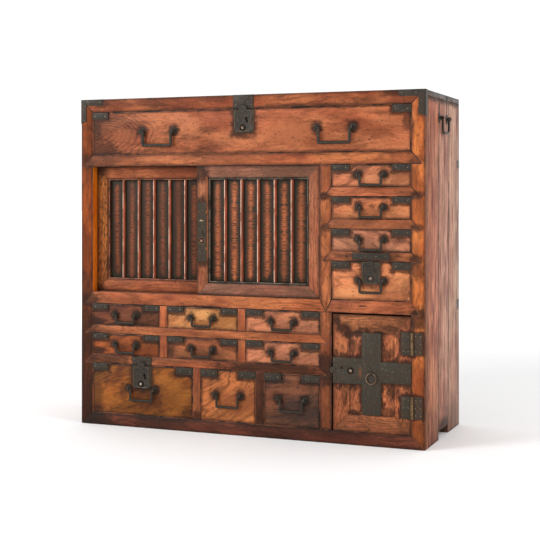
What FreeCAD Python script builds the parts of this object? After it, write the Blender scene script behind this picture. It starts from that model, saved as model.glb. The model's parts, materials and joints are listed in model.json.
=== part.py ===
# A merchant's chest of drawers in framed wood with hand-forged iron fittings.
#
# Millimetres, +Z up, +X to the right, the front faces -Y. The origin is the middle of the
# case's footprint, on the floor. The case stands at the heart of it: front frame, boards,
# shelves and partitions. Fourteen drawers, two sliding doors and one hinged door close it.

import FreeCAD, Part
import os
import Sketcher

Vector = FreeCAD.Vector
Rotation = FreeCAD.Rotation

doc = FreeCAD.newDocument("merchant_chest")

# ---------------------------------------------------------------------------------------
# Driving dimensions
# ---------------------------------------------------------------------------------------

driving_sizes = {
    # Case and front frame
    "case_depth": 326.0,
    "stile_width": 31.0,
    "frame_depth": 24.0,
    "centre_stile_width": 27.5,
    "right_column_width": 184.4,
    "top_rail_height": 31.5,
    "long_rail_height": 28.0,
    "sill_rail_height": 28.8,
    "bottom_rail_height": 29.8,
    "small_rail_height": 19.5,
    "right_rail_height": 21.6,
    "divider_width": 20.0,
    "long_mitre_reach": 23.0,
    "small_mitre_reach": 19.0,
    # Openings in the front
    "wide_drawer_height": 103.5,
    "sliding_opening_height": 303.1,
    "small_drawer_height": 52.2,
    "bottom_drawer_height": 120.9,
    "right_drawer_height": 50.4,
    "bottom_first_width": 269.6,
    "bottom_second_width": 139.9,
    "bottom_third_width": 136.6,
    # Boards of the case
    "side_board_thickness": 18.0,
    "front_seam_offset": 41.0,
    "rear_seam_offset": 52.0,
    "middle_board_rise": 21.0,
    "top_board_thickness": 10.0,
    "top_front_board_width": 160.0,
    "bottom_board_thickness": 12.0,
    "bearer_width": 40.0,
    "shelf_thickness": 8.0,
    "centre_partition_thickness": 14.0,
    "guide_height": 12.0,
    "back_board_thickness": 10.0,
    "batten_depth": 24.0,
    "upper_batten_height": 20.0,
    "upper_batten_drop": 5.0,
    "lower_batten_height": 25.0,
    "lower_batten_drop": 13.0,
    # Drawers
    "front_setback": 1.0,
    "drawer_side_gap": 0.5,
    "drawer_top_gap": 0.8,
    "drawer_rest_gap": 0.2,
    "drawer_back_gap": 3.0,
    "drawer_front_thickness": 15.0,
    "drawer_wall_thickness": 8.0,
    "drawer_bottom_thickness": 5.0,
    "drawer_side_drop": 4.0,
    # Sliding doors
    "sliding_setback": 2.5,
    "sliding_thickness": 17.0,
    "sliding_pass_gap": 2.5,
    "sliding_overlap": 26.5,
    "sliding_frame_width": 27.0,
    "sliding_bead_width": 5.0,
    "sliding_bead_drop": 3.0,
    "sliding_edge_gap": 0.4,
    "sliding_bar_width": 7.0,
    "sliding_bar_depth": 6.0,
    "sliding_bar_drop": 2.0,
    "sliding_panel_thickness": 5.0,
    "tongue_thickness": 5.0,
    "groove_clearance": 0.5,
    "lower_groove_depth": 4.0,
    "upper_groove_depth": 10.0,
    "tongue_end_gap": 0.3,
    "upper_tongue_reach": 7.0,
    "track_depth": 44.0,
    # Hinged door
    "door_thickness": 18.0,
    "door_left_gap": 3.6,
    "door_top_gap": 3.6,
    "door_hinge_gap": 0.4,
    "door_foot_gap": 0.4,
    "door_stile_width": 38.0,
    "door_rail_height": 39.0,
    "door_panel_thickness": 9.0,
    "door_iron_thickness": 2.0,
    "door_plate_width": 44.0,
    "door_band_height": 46.0,
    "door_lock_height": 58.0,
    "door_iron_level": 135.5,
    "door_lock_tab_radius": 7.0,
    "hinge_leaf_width": 19.0,
    "hinge_length": 49.0,
    "hinge_leaf_thickness": 1.6,
    "hinge_knuckle_radius": 3.4,
    "hinge_pin_radius": 1.6,
    "hinge_pin_clearance": 0.1,
    "hinge_axis_offset": 2.6,
    "hinge_knuckle_gap": 0.3,
    "hinge_upper_rise": 177.2,
    "hinge_lower_rise": 37.2,
    # Bail handles
    "bail_radius": 2.5,
    "wide_bail_radius": 3.0,
    "eye_clearance": 0.3,
    "eye_wall": 1.8,
    "eye_width": 3.8,
    "bail_bend_radius": 3.2,
    "bail_end_length": 4.2,
    "shank_radius": 1.6,
    "shank_end_length": 3.0,
    "rose_radius": 9.0,
    "wide_rose_radius": 12.0,
    "rose_thickness": 1.6,
    "rose_bevel": 1.5,
    "wide_handle_offset": 222.0,
    "wide_handle_spacing": 85.0,
    "wide_handle_drop": 35.0,
    "wide_handle_rise": 4.0,
    "small_handle_spacing": 58.0,
    "small_handle_drop": 19.5,
    "small_handle_rise": 0.8,
    "right_handle_spacing": 60.0,
    "right_handle_drop": 24.0,
    "right_handle_rise": 2.4,
    "tall_handle_drop": 28.0,
    "tall_handle_rise": 2.0,
    "bottom_handle_spacing": 64.0,
    "bottom_handle_drop": 27.5,
    "bottom_handle_rise": 1.4,
    "first_handle_spacing": 68.4,
    "first_handle_rise": 2.2,
    "side_handle_spacing": 70.0,
    "side_handle_drop": 33.0,
    "side_handle_drop_from_top": 56.0,
    # Iron on the drawers
    "strap_thickness": 1.6,
    "strap_length": 42.0,
    "small_strap_height": 13.0,
    "tall_strap_height": 16.5,
    # Locks
    "lock_width": 50.0,
    "lock_height": 57.0,
    "lock_depth": 6.0,
    "lock_slope": 4.0,
    "lock_tab_radius": 10.0,
    "lock_tab_drop": 1.5,
    "lock_button_drop": 45.0,
    "lock_key_drop": 23.5,
    "lock_key_offset": 9.0,
    "small_lock_width": 42.0,
    "small_lock_height": 49.0,
    "small_lock_depth": 1.8,
    "small_lock_slope": 0.6,
    "small_lock_tab_radius": 7.5,
    "small_lock_tab_drop": 5.0,
    "small_lock_button_drop": 38.0,
    "small_lock_key_drop": 15.0,
    "lock_tab_thickness": 2.0,
    "lock_tab_clearance": 0.4,
    "lock_hole_radius": 8.0,
    "key_hole_radius": 3.0,
    "key_slot_height": 9.0,
    "bolt_width": 10.0,
    "bolt_thickness": 4.0,
    "bolt_clearance": 0.3,
    "bolt_travel": 4.0,
    "bolt_inset": 0.8,
    "knob_radius": 3.6,
    "knob_reach": 2.5,
    "strike_thickness": 1.6,
    "strike_width": 51.0,
    "strike_strap_width": 86.0,
    "strike_strap_height": 15.0,
    "strike_strap_rise": 4.0,
    "slim_plate_width": 23.0,
    "slim_plate_height": 138.0,
    "slim_plate_rise": 79.0,
    "slim_plate_neck": 4.0,
    "slim_button_rise": 48.0,
    "slim_key_rise": 68.0,
    "slim_staple_rise": 93.0,
    "slim_hole_radius": 7.4,
    "slim_bolt_width": 8.0,
    "slim_knob_radius": 3.0,
    "door_button_inset": 42.0,
    "door_bolt_reach": 2.8,
    # Ring pull on the hinged door
    "ring_radius": 11.0,
    "ring_wire_radius": 1.5,
    "ring_rise": 132.2,
    "ring_eye_clearance": 0.5,
    "ring_eye_wall": 1.2,
    "ring_eye_width": 3.6,
    # Corner irons of the case
    "corner_iron_width": 14.5,
    "corner_iron_length": 62.0,
    "corner_iron_drop": 58.0,
    "corner_iron_slant": 5.0,
    "corner_iron_thickness": 1.2,
    "corner_iron_wrap": 20.0,
}

sizes = doc.addObject("Spreadsheet::Sheet", "Sizes")
for row, (alias, value) in enumerate(driving_sizes.items(), start=1):
    sizes.set(f"A{row}", alias)
    sizes.set(f"B{row}", str(value))
    sizes.setAlias(f"B{row}", alias)
doc.recompute()

# ---------------------------------------------------------------------------------------
# Planes of the chest, as rules on the sheet
# ---------------------------------------------------------------------------------------


def add(*rules):
    """The sum of some rules."""
    return " + ".join(f"({rule})" for rule in rules)


def less(first, *others):
    """A rule less some others."""
    return f"({first})" + "".join(f" - ({rule})" for rule in others)


def size(alias):
    """The rule that reads one driving dimension."""
    return f"Sizes.{alias}"


def part_of(rule, divisor):
    """A rule divided by a number."""
    return f"({rule}) / {divisor}"


def middle(low, high):
    """The plane halfway between two planes."""
    return f"(({low}) + ({high})) / 2"


block_width = add(size("bottom_first_width"), size("divider_width"), size("bottom_second_width"),
                  size("divider_width"), size("bottom_third_width"))
case_width = add(size("stile_width"), block_width, size("centre_stile_width"), size("right_column_width"),
                 size("stile_width"))
right_edge = part_of(case_width, 2)
left_edge = less("0", right_edge)
back_plane = part_of(size("case_depth"), 2)
front_plane = less("0", back_plane)

left_inner = add(left_edge, size("stile_width"))
right_inner = less(right_edge, size("stile_width"))
block_right = add(left_inner, block_width)
column_left = add(block_right, size("centre_stile_width"))
side_left = add(left_edge, size("side_board_thickness"))
side_right = less(right_edge, size("side_board_thickness"))
centre_line = middle(block_right, column_left)
partition_left = less(centre_line, part_of(size("centre_partition_thickness"), 2))
partition_right = add(centre_line, part_of(size("centre_partition_thickness"), 2))

frame_back = add(front_plane, size("frame_depth"))
track_back = add(front_plane, size("track_depth"))
inner_back = less(back_plane, size("batten_depth"))

floor_level = size("bottom_rail_height")
bottom_row_top = add(floor_level, size("bottom_drawer_height"))
row_two_floor = add(bottom_row_top, size("small_rail_height"))
row_two_top = add(row_two_floor, size("small_drawer_height"))
row_one_floor = add(row_two_top, size("small_rail_height"))
row_one_top = add(row_one_floor, size("small_drawer_height"))
sill_level = add(row_one_top, size("sill_rail_height"))
long_rail_foot = add(sill_level, size("sliding_opening_height"))
wide_floor = add(long_rail_foot, size("long_rail_height"))
wide_top = add(wide_floor, size("wide_drawer_height"))
top_plane = add(wide_top, size("top_rail_height"))
board_top = less(top_plane, size("top_board_thickness"))

small_width = part_of(less(block_width, size("divider_width"), size("divider_width")), 3)


def small_left(column):
    """Left plane of a small drawer's opening: column 0, 1 or 2."""
    return add(left_inner, f"{column} * ({small_width} + {size('divider_width')})")


small_openings = [(small_left(column), add(small_left(column), small_width)) for column in range(3)]

first_right = add(left_inner, size("bottom_first_width"))
second_left = add(first_right, size("divider_width"))
second_right = add(second_left, size("bottom_second_width"))
third_left = add(second_right, size("divider_width"))
bottom_openings = [(left_inner, first_right), (second_left, second_right), (third_left, block_right)]

right_openings = []
opening_top = long_rail_foot
for _ in range(3):
    opening_foot = less(opening_top, size("right_drawer_height"))
    right_openings.append((opening_foot, opening_top))
    opening_top = less(opening_foot, size("right_rail_height"))
right_openings.append((sill_level, opening_top))

# ---------------------------------------------------------------------------------------
# Ways of making a piece
# ---------------------------------------------------------------------------------------

along_x = Rotation(Vector(0, 1, 0), 90)
along_y = Rotation(Vector(1, 0, 0), -90)
upright = Rotation(Vector(1, 0, 0), 90)
half_turn = Rotation(Vector(0, 0, 1), 180)
nodes = []


def set_place(item, x, y, z, turn=None):
    """Turn an item, then tie its place to three rules."""
    if turn is not None:
        item.Placement = FreeCAD.Placement(Vector(), turn)
    item.setExpression("Placement.Base.x", x)
    item.setExpression("Placement.Base.y", y)
    item.setExpression("Placement.Base.z", z)


def board(name, x, y, z):
    """A squared board between three pairs of planes."""
    item = doc.addObject("Part::Box", name)
    item.setExpression("Length", less(x[1], x[0]))
    item.setExpression("Width", less(y[1], y[0]))
    item.setExpression("Height", less(z[1], z[0]))
    set_place(item, x[0], y[0], z[0])
    return item


def rod(name, radius, length, x, y, z, turn=None):
    """A round rod that starts at a point and runs along the axis that turn gives."""
    item = doc.addObject("Part::Cylinder", name)
    item.setExpression("Radius", radius)
    item.setExpression("Height", length)
    set_place(item, x, y, z, turn)
    return item


def ring_piece(name, radius, wire, sweep, x, y, z, turn):
    """A ring of wire, or the part of it that sweep degrees cover."""
    item = doc.addObject("Part::Torus", name)
    item.setExpression("Radius1", radius)
    item.setExpression("Radius2", wire)
    item.Angle3 = sweep
    set_place(item, x, y, z, turn)
    return item


def together(name, items):
    """Several solids kept apart in one object."""
    item = doc.addObject("Part::Compound", name)
    item.Links = items
    return item


def joined(name, items):
    """Several solids grown into one."""
    item = doc.addObject("Part::MultiFuse", name)
    item.Shapes = items
    return item


def cut_away(name, base, tools):
    """A solid with the tools' shapes cut out of it."""
    item = doc.addObject("Part::Cut", name)
    item.Base = base
    item.Tool = tools[0] if len(tools) == 1 else together(f"{name}_tools", tools)
    return item


def node(label, items):
    """One named sub-part of the chest."""
    item = together(f"{label}_node", items)
    item.Label = label
    nodes.append(item)
    return item


def plate(name, outline, thickness, x, y, z, mirrored=False):
    """A flat plate sketched on the front's plane, padded towards -Y from its place."""
    body = doc.addObject("PartDesign::Body", name)
    sketch = body.newObject("Sketcher::SketchObject", f"{name}_outline")
    front_view = next(item for item in body.Origin.OriginFeatures if item.Role == "XZ_Plane")
    sketch.AttachmentSupport = [(front_view, "")]
    sketch.MapMode = "FlatFace"
    count = len(outline)
    spread = [Rotation(Vector(0, 0, 1), 360.0 * corner / count).multVec(Vector(20, 0, 0))
              for corner in range(count)]
    for corner in range(count):
        sketch.addGeometry(Part.LineSegment(spread[corner], spread[(corner + 1) % count]), False)
    for corner in range(count):
        sketch.addConstraint(Sketcher.Constraint("Coincident", corner, 2, (corner + 1) % count, 1))
    for corner, (across, up) in enumerate(outline):
        across_rule = less("0", across) if mirrored and across != "0" else across
        for kind, rule, axis in (("DistanceX", across_rule, -2), ("DistanceY", up, -1)):
            if rule == "0":
                sketch.addConstraint(Sketcher.Constraint("PointOnObject", corner, 1, axis))
                continue
            index = sketch.addConstraint(Sketcher.Constraint(kind, -1, 1, corner, 1, 10.0))
            sketch.setExpression(f"Constraints[{index}]", rule)
    pad = body.newObject("PartDesign::Pad", f"{name}_pad")
    pad.Profile = sketch
    pad.setExpression("Length", thickness)
    set_place(body, x, y, z)
    return body


def frustum(name, half_width, height, depth, slope, x, y, z):
    """A raised plate with sloped edges: its foot on y, its face depth nearer the front.

    The place is the middle of the plate's upper edge.
    """
    item = doc.addObject("Part::Wedge", name)
    item.setExpression("Xmin", less("0", half_width))
    item.setExpression("Xmax", half_width)
    item.setExpression("Zmin", less("0", height))
    item.setExpression("Zmax", "0")
    item.setExpression("Ymin", "0")
    item.setExpression("Ymax", depth)
    item.setExpression("X2min", less(slope, half_width))
    item.setExpression("X2max", less(half_width, slope))
    item.setExpression("Z2min", less(slope, height))
    item.setExpression("Z2max", less("0", slope))
    set_place(item, x, y, z, half_turn)
    return item


def mitred_rail(name, x, z, left_reach, right_reach, upwards=False):
    """A rail of the front frame whose slanted ends run into the stiles.

    Its lower edge, or its upper one, is the longer by the two reaches.
    """
    item = doc.addObject("Part::Wedge", name)
    long_end, short_end = ("X2", "X") if upwards else ("X", "X2")
    item.setExpression(f"{long_end}min", less(x[0], left_reach))
    item.setExpression(f"{long_end}max", add(x[1], right_reach))
    item.setExpression(f"{short_end}min", x[0])
    item.setExpression(f"{short_end}max", x[1])
    item.setExpression("Ymin", "0")
    item.setExpression("Ymax", less(z[1], z[0]))
    for low, high in (("Zmin", "Zmax"), ("Z2min", "Z2max")):
        item.setExpression(low, less("0", size("frame_depth")))
        item.setExpression(high, "0")
    set_place(item, "0", front_plane, z[0], upright)
    return item


# ---------------------------------------------------------------------------------------
# The front frame
# ---------------------------------------------------------------------------------------

long_reach = size("long_mitre_reach")
small_reach = size("small_mitre_reach")
half_stile = part_of(size("centre_stile_width"), 2)

# Each bolt of a drawer lock rises into a mortise in the rail above it.
bolt_depth_low = add(front_plane, size("front_setback"), size("bolt_inset"))
bolt_depth_high = add(bolt_depth_low, size("bolt_thickness"))
mortise_depth = add(size("bolt_travel"), size("bolt_clearance"))
first_middle = middle(left_inner, first_right)
column_middle = middle(column_left, right_inner)


def bolt_mortise(name, x, level):
    """The pocket in a rail's underside that takes a drawer's bolt."""
    half = add(part_of(size("bolt_width"), 2), size("bolt_clearance"))
    depth = (less(bolt_depth_low, size("bolt_clearance")), add(bolt_depth_high, size("bolt_clearance")))
    return board(name, (less(x, half), add(x, half)), depth, (level, add(level, mortise_depth)))


top_rail_blank = mitred_rail("top_rail_blank", (left_inner, right_inner), (wide_top, top_plane),
                             size("stile_width"), size("stile_width"), upwards=True)
top_rail = cut_away("top_rail_mortised", top_rail_blank, [bolt_mortise("top_rail_mortise", "0", wide_top)])

bottom_rail = mitred_rail("bottom_rail_board", (left_inner, right_inner), ("0", floor_level),
                          size("stile_width"), size("stile_width"))

# The doors run in two grooves, one behind the other, in the sill and in the long rail.
front_door_face = add(front_plane, size("sliding_setback"))
rear_door_face = add(front_door_face, size("sliding_thickness"), size("sliding_pass_gap"))
groove_half = add(part_of(size("tongue_thickness"), 2), size("groove_clearance"))


def door_grooves(name, z):
    """The two grooves that the sliding doors' tongues run in."""
    grooves = []
    for track, face in (("front", front_door_face), ("rear", rear_door_face)):
        centre = add(face, part_of(size("sliding_thickness"), 2))
        depth = (less(centre, groove_half), add(centre, groove_half))
        grooves.append(board(f"{name}_{track}", (left_inner, block_right), depth, z))
    return grooves


long_rail_front = mitred_rail("long_rail_front", (left_inner, right_inner), (long_rail_foot, wide_floor),
                              long_reach, long_reach)
long_rail_rear = board("long_rail_rear", (side_left, side_right), (frame_back, track_back),
                       (long_rail_foot, wide_floor))
long_rail_blank = joined("long_rail_blank", [long_rail_front, long_rail_rear])
long_rail = cut_away("long_rail_grooved", long_rail_blank,
                     door_grooves("upper_groove", (long_rail_foot, add(long_rail_foot, size("upper_groove_depth")))))

sill_front = mitred_rail("sill_front", (left_inner, block_right), (row_one_top, sill_level),
                         small_reach, half_stile)
sill_rear = board("sill_rear", (side_left, partition_left), (frame_back, track_back),
                  (row_one_top, sill_level))
sill_blank = joined("sill_blank", [sill_front, sill_rear])
sill = cut_away("sill", sill_blank,
                door_grooves("lower_groove", (less(sill_level, size("lower_groove_depth")), sill_level)))
row_rail_upper = mitred_rail("row_rail_upper", (left_inner, block_right), (row_two_top, row_one_floor),
                             small_reach, small_reach)
row_rail_lower_blank = mitred_rail("row_rail_lower_blank", (left_inner, block_right),
                                   (bottom_row_top, row_two_floor), small_reach, small_reach)
row_rail_lower = cut_away("row_rail_lower", row_rail_lower_blank,
                          [bolt_mortise("row_rail_mortise", first_middle, bottom_row_top)])
left_rail_set = [sill, row_rail_upper, row_rail_lower]

right_rail_set = []
for index in range(3):
    rail_span = (right_openings[index + 1][1], right_openings[index][0])
    rail = mitred_rail(f"right_rail_{index + 1}", (column_left, right_inner), rail_span, small_reach, small_reach)
    if index == 2:
        rail = cut_away("right_rail_3_mortised", rail,
                        [bolt_mortise("right_rail_mortise", column_middle, rail_span[0])])
    right_rail_set.append(rail)
right_rail_set.append(mitred_rail("right_sill", (column_left, right_inner), (row_one_top, sill_level),
                                  half_stile, small_reach))

frame_span = (front_plane, frame_back)
left_stile_blank = board("left_stile_blank", (left_edge, left_inner), frame_span, ("0", top_plane))
left_stile = cut_away("left_stile_jointed", left_stile_blank, [top_rail_blank, bottom_rail, long_rail_front] +
                      [sill_front, row_rail_upper, row_rail_lower_blank])
right_stile_blank = board("right_stile_blank", (right_inner, right_edge), frame_span, ("0", top_plane))
right_stile = cut_away("right_stile_jointed", right_stile_blank,
                       [top_rail_blank, bottom_rail, long_rail_front] + right_rail_set)

# The hinged door's bolt slides left into the centre stile.
door_iron_middle = add(floor_level, size("door_iron_level"))
door_bolt_half = add(part_of(size("bolt_width"), 2), size("bolt_clearance"))
stile_mortise = board("stile_mortise",
                      (less(column_left, size("bolt_travel"), size("bolt_clearance")), column_left),
                      (less(bolt_depth_low, size("bolt_clearance")), add(bolt_depth_high, size("bolt_clearance"))),
                      (less(door_iron_middle, door_bolt_half), add(door_iron_middle, door_bolt_half)))
centre_stile_blank = board("centre_stile_blank", (block_right, column_left), frame_span,
                           (floor_level, long_rail_foot))
centre_stile = cut_away("centre_stile_jointed", centre_stile_blank,
                        [sill_front, row_rail_upper, row_rail_lower_blank] + right_rail_set + [stile_mortise])

divider_set = []
partition_set = []
shelf_foot_sill = less(sill_level, size("shelf_thickness"))
for gap in range(2):
    small_gap = (small_openings[gap][1], small_openings[gap + 1][0])
    bottom_gap = (bottom_openings[gap][1], bottom_openings[gap + 1][0])
    levels = [
        ("row_one", small_gap, row_one_floor, row_one_top),
        ("row_two", small_gap, row_two_floor, row_two_top),
        ("bottom", bottom_gap, floor_level, bottom_row_top),
    ]
    for row_name, span, low, high in levels:
        divider_set.append(board(f"{row_name}_divider_{gap + 1}", span, frame_span, (low, high)))
        part_high = high if row_name == "row_one" else less(add(high, size("small_rail_height")),
                                                             size("shelf_thickness"))
        partition = board(f"{row_name}_partition_{gap + 1}", span, (frame_back, inner_back), (low, part_high))
        if row_name == "row_one":
            rear = board(f"row_one_riser_{gap + 1}", span, (track_back, inner_back), (high, shelf_foot_sill))
            partition = joined(f"row_one_partition_whole_{gap + 1}", [partition, rear])
        partition_set.append(partition)

# ---------------------------------------------------------------------------------------
# Boards, shelves and partitions behind the frame
# ---------------------------------------------------------------------------------------

front_seam = less("0", size("front_seam_offset"))
rear_seam = size("rear_seam_offset")
side_span = part_of(size("side_handle_spacing"), 2)
whole_x = (left_edge, right_edge)

upper_batten_foot = less(long_rail_foot, size("upper_batten_drop"))
upper_batten_top = add(upper_batten_foot, size("upper_batten_height"))
lower_batten_foot = less(row_one_top, size("lower_batten_drop"))
lower_batten_top = add(lower_batten_foot, size("lower_batten_height"))
battens = [
    board("upper_batten", whole_x, (inner_back, back_plane), (upper_batten_foot, upper_batten_top)),
    board("lower_batten", whole_x, (inner_back, back_plane), (lower_batten_foot, lower_batten_top)),
]
side_handle_level = less(top_plane, size("side_handle_drop_from_top"))


def side_boards(side, x):
    """The three upright boards of one side; the middle one is raised off the floor."""
    front_board = board(f"{side}_side_front", x, (frame_back, front_seam), ("0", board_top))
    middle_board = board(f"{side}_side_middle", x, (front_seam, rear_seam),
                         (size("middle_board_rise"), board_top))
    back_blank = board(f"{side}_side_back_blank", x, (rear_seam, back_plane), ("0", board_top))
    back_board = cut_away(f"{side}_side_back", back_blank, battens)
    holes = [rod(f"{side}_side_hole_{end}", size("shank_radius"), size("side_board_thickness"), x[0],
                 side_y, side_handle_level, along_x)
             for end, side_y in (("front", less("0", side_span)), ("back", side_span))]
    return node(f"{side}_side_boards", [front_board, cut_away(f"{side}_side_middle_bored", middle_board, holes),
                                        back_board])


side_boards("left", (left_edge, side_left))
side_boards("right", (side_right, right_edge))

top_seam = add(frame_back, size("top_front_board_width"))
node("top_boards", [
    board("top_front_board", whole_x, (frame_back, top_seam), (board_top, top_plane)),
    board("top_back_board", whole_x, (top_seam, back_plane), (board_top, top_plane)),
])

bottom_foot = less(floor_level, size("bottom_board_thickness"))
bearer_half = part_of(size("bearer_width"), 2)
node("bottom_boards", [
    board("bottom_board", (side_left, side_right), (frame_back, inner_back), (bottom_foot, floor_level)),
    board("bottom_bearer", (less("0", bearer_half), bearer_half), (frame_back, inner_back),
          ("0", bottom_foot)),
])

back_span = (inner_back, add(inner_back, size("back_board_thickness")))
inner_x = (side_left, side_right)
batten_gap_middle = middle(lower_batten_top, upper_batten_foot)
node("back_boards", [
    board("lowest_back_board", inner_x, back_span, (bottom_foot, lower_batten_foot)),
    board("second_back_board", inner_x, back_span, (lower_batten_top, batten_gap_middle)),
    board("third_back_board", inner_x, back_span, (batten_gap_middle, upper_batten_foot)),
    board("highest_back_board", inner_x, back_span, (upper_batten_top, board_top)),
] + battens)

wide_shelf_foot = less(wide_floor, size("shelf_thickness"))
centre_partition_front = board("centre_partition_front", (partition_left, partition_right),
                               (frame_back, track_back), (floor_level, long_rail_foot))
centre_partition_rear = board("centre_partition_rear", (partition_left, partition_right),
                              (track_back, inner_back), (floor_level, wide_shelf_foot))
centre_partition = cut_away("centre_partition",
                            joined("centre_partition_blank", [centre_partition_front, centre_partition_rear]),
                            [sill_rear])
node("partitions", [centre_partition] + partition_set)

left_x = (side_left, partition_left)
right_x = (partition_right, side_right)


def shelf(name, x, front, level):
    """A dust board whose top is flush with a rail's top."""
    return board(name, x, (front, inner_back), (less(level, size("shelf_thickness")), level))


shelves = [
    shelf("wide_shelf", inner_x, track_back, wide_floor),
    shelf("sill_shelf", left_x, track_back, sill_level),
    shelf("row_one_shelf", left_x, frame_back, row_one_floor),
    shelf("row_two_shelf", left_x, frame_back, row_two_floor),
]
for index, (opening_foot, _) in enumerate(right_openings):
    shelves.append(shelf(f"right_shelf_{index + 1}", right_x, frame_back, opening_foot))
node("shelves", shelves)

# Softwood strips beside the drawers, flush with the stiles, keep each drawer straight.
guides = []


def guide(name, x, floor):
    """One guiding strip on a shelf, from the frame to the back."""
    guides.append(board(name, x, (frame_back, inner_back), (floor, add(floor, size("guide_height")))))


for name, floor in (("bottom", floor_level), ("row_two", row_two_floor), ("row_one", row_one_floor)):
    guide(f"{name}_left_guide", (side_left, left_inner), floor)
    guide(f"{name}_centre_guide", (block_right, partition_left), floor)
for index, (opening_foot, _) in enumerate(right_openings):
    guide(f"right_{index + 1}_left_guide", (partition_right, column_left), opening_foot)
    guide(f"right_{index + 1}_right_guide", (right_inner, side_right), opening_foot)
wide_guide_span = (track_back, inner_back)
wide_guide_rise = (wide_floor, add(wide_floor, size("guide_height")))
guides.append(board("wide_left_guide", (side_left, left_inner), wide_guide_span, wide_guide_rise))
guides.append(board("wide_right_guide", (right_inner, side_right), wide_guide_span, wide_guide_rise))
node("drawer_guides", guides)

node("left_stile", [left_stile])
node("right_stile", [right_stile])
node("centre_stile", [centre_stile])
node("top_rail", [top_rail])
node("long_rail", [long_rail])
node("bottom_rail", [bottom_rail])
node("left_rails", left_rail_set)
node("right_rails", right_rail_set)
node("dividers", divider_set)

# ---------------------------------------------------------------------------------------
# Bail handles: a bent rod whose ends turn in two eye pins, each pin through a rose
# ---------------------------------------------------------------------------------------

eye_half = part_of(size("eye_width"), 2)
leg_inset = add(size("bail_bend_radius"), eye_half, size("eye_clearance"))


def eye_radius(bail):
    """Outer radius of the eye that a bail of this radius turns in."""
    return add(bail, size("eye_clearance"), size("eye_wall"))


def standoff(bail):
    """How far the bail's axis stands off the face that carries it."""
    return add(size("rose_thickness"), eye_radius(bail))


def bail_handle(label, spacing, drop, bail, x, y, z, turn=None):
    """A square-cornered bail that hangs from its axis, bent outward into its two eyes."""
    bend = size("bail_bend_radius")
    half = part_of(spacing, 2)
    leg = less(half, leg_inset)
    pieces = []
    bar = less(add(leg, leg), add(bend, bend))
    for side, sign in (("left", -1), ("right", 1)):
        knee = f"{sign} * ({add(leg, bend)})"
        end = f"{sign} * ({add(half, size('bail_end_length'))})"
        start = end if sign < 0 else knee
        stub = less(add(half, size("bail_end_length")), add(leg, bend))
        pieces.append(rod(f"{label}_{side}_end", bail, stub, start, "0", "0", along_x))
        upper_turn = Rotation(Vector(1, 0, 0), 90)
        if sign > 0:
            upper_turn = upper_turn.multiply(Rotation(Vector(0, 0, 1), 90))
        pieces.append(ring_piece(f"{label}_{side}_knee", bend, bail, 90, knee, "0",
                                 less("0", bend), upper_turn))
        leg_length = less(drop, add(bend, bend))
        foot = less(bend, drop)
        pieces.append(rod(f"{label}_{side}_leg", bail, leg_length, f"{sign} * ({leg})", "0", foot))
        lower_turn = Rotation(Vector(1, 0, 0), 90).multiply(Rotation(Vector(0, 0, 1), 180 if sign < 0 else 270))
        pieces.append(ring_piece(f"{label}_{side}_corner", bend, bail, 90,
                                 f"{sign} * ({less(leg, bend)})", "0", foot, lower_turn))
    pieces.append(rod(f"{label}_bar", bail, bar, less(bend, leg), "0", less("0", drop), along_x))
    handle = node(label, [joined(f"{label}_rod", pieces)])
    set_place(handle, x, y, z, turn)
    return handle


def eye_pin(name, bail, rose, through, x, y, z, turn=None):
    """One eye pin and its rose on a face at y; the shank runs through the board behind."""
    outer = eye_radius(bail)
    axis = less("0", standoff(bail))
    shell = rod(f"{name}_shell", outer, size("eye_width"), less("0", eye_half), axis, "0", along_x)
    shank = rod(f"{name}_shank", size("shank_radius"), add(standoff(bail), through, size("shank_end_length")),
                "0", axis, "0", along_y)
    bore = rod(f"{name}_bore", add(bail, size("eye_clearance")), size("eye_width"),
               less("0", eye_half), axis, "0", along_x)
    eye = cut_away(f"{name}_eye", joined(f"{name}_blank", [shell, shank]), [bore])
    disc = doc.addObject("Part::Cone", f"{name}_disc")
    disc.setExpression("Radius1", less(rose, size("rose_bevel")))
    disc.setExpression("Radius2", rose)
    disc.setExpression("Height", size("rose_thickness"))
    set_place(disc, "0", less("0", size("rose_thickness")), "0", along_y)
    hole = rod(f"{name}_hole", size("shank_radius"), size("rose_thickness"), "0",
               less("0", size("rose_thickness")), "0", along_y)
    washer = cut_away(f"{name}_rose", disc, [hole])
    pair = together(name, [eye, washer])
    set_place(pair, x, y, z, turn)
    return pair


# ---------------------------------------------------------------------------------------
# Drawers
# ---------------------------------------------------------------------------------------

face_plane = add(front_plane, size("front_setback"))
front_back = add(face_plane, size("drawer_front_thickness"))
drawer_end = less(inner_back, size("drawer_back_gap"))


def lock_sizes(kind):
    """The rules of a drawer lock: the raised kind or the small flat one."""
    prefix = "lock" if kind == "raised" else "small_lock"
    names = ("width", "height", "depth", "slope", "tab_radius", "tab_drop", "button_drop", "key_drop")
    return {name: size(f"{prefix}_{name}") for name in names}


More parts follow.
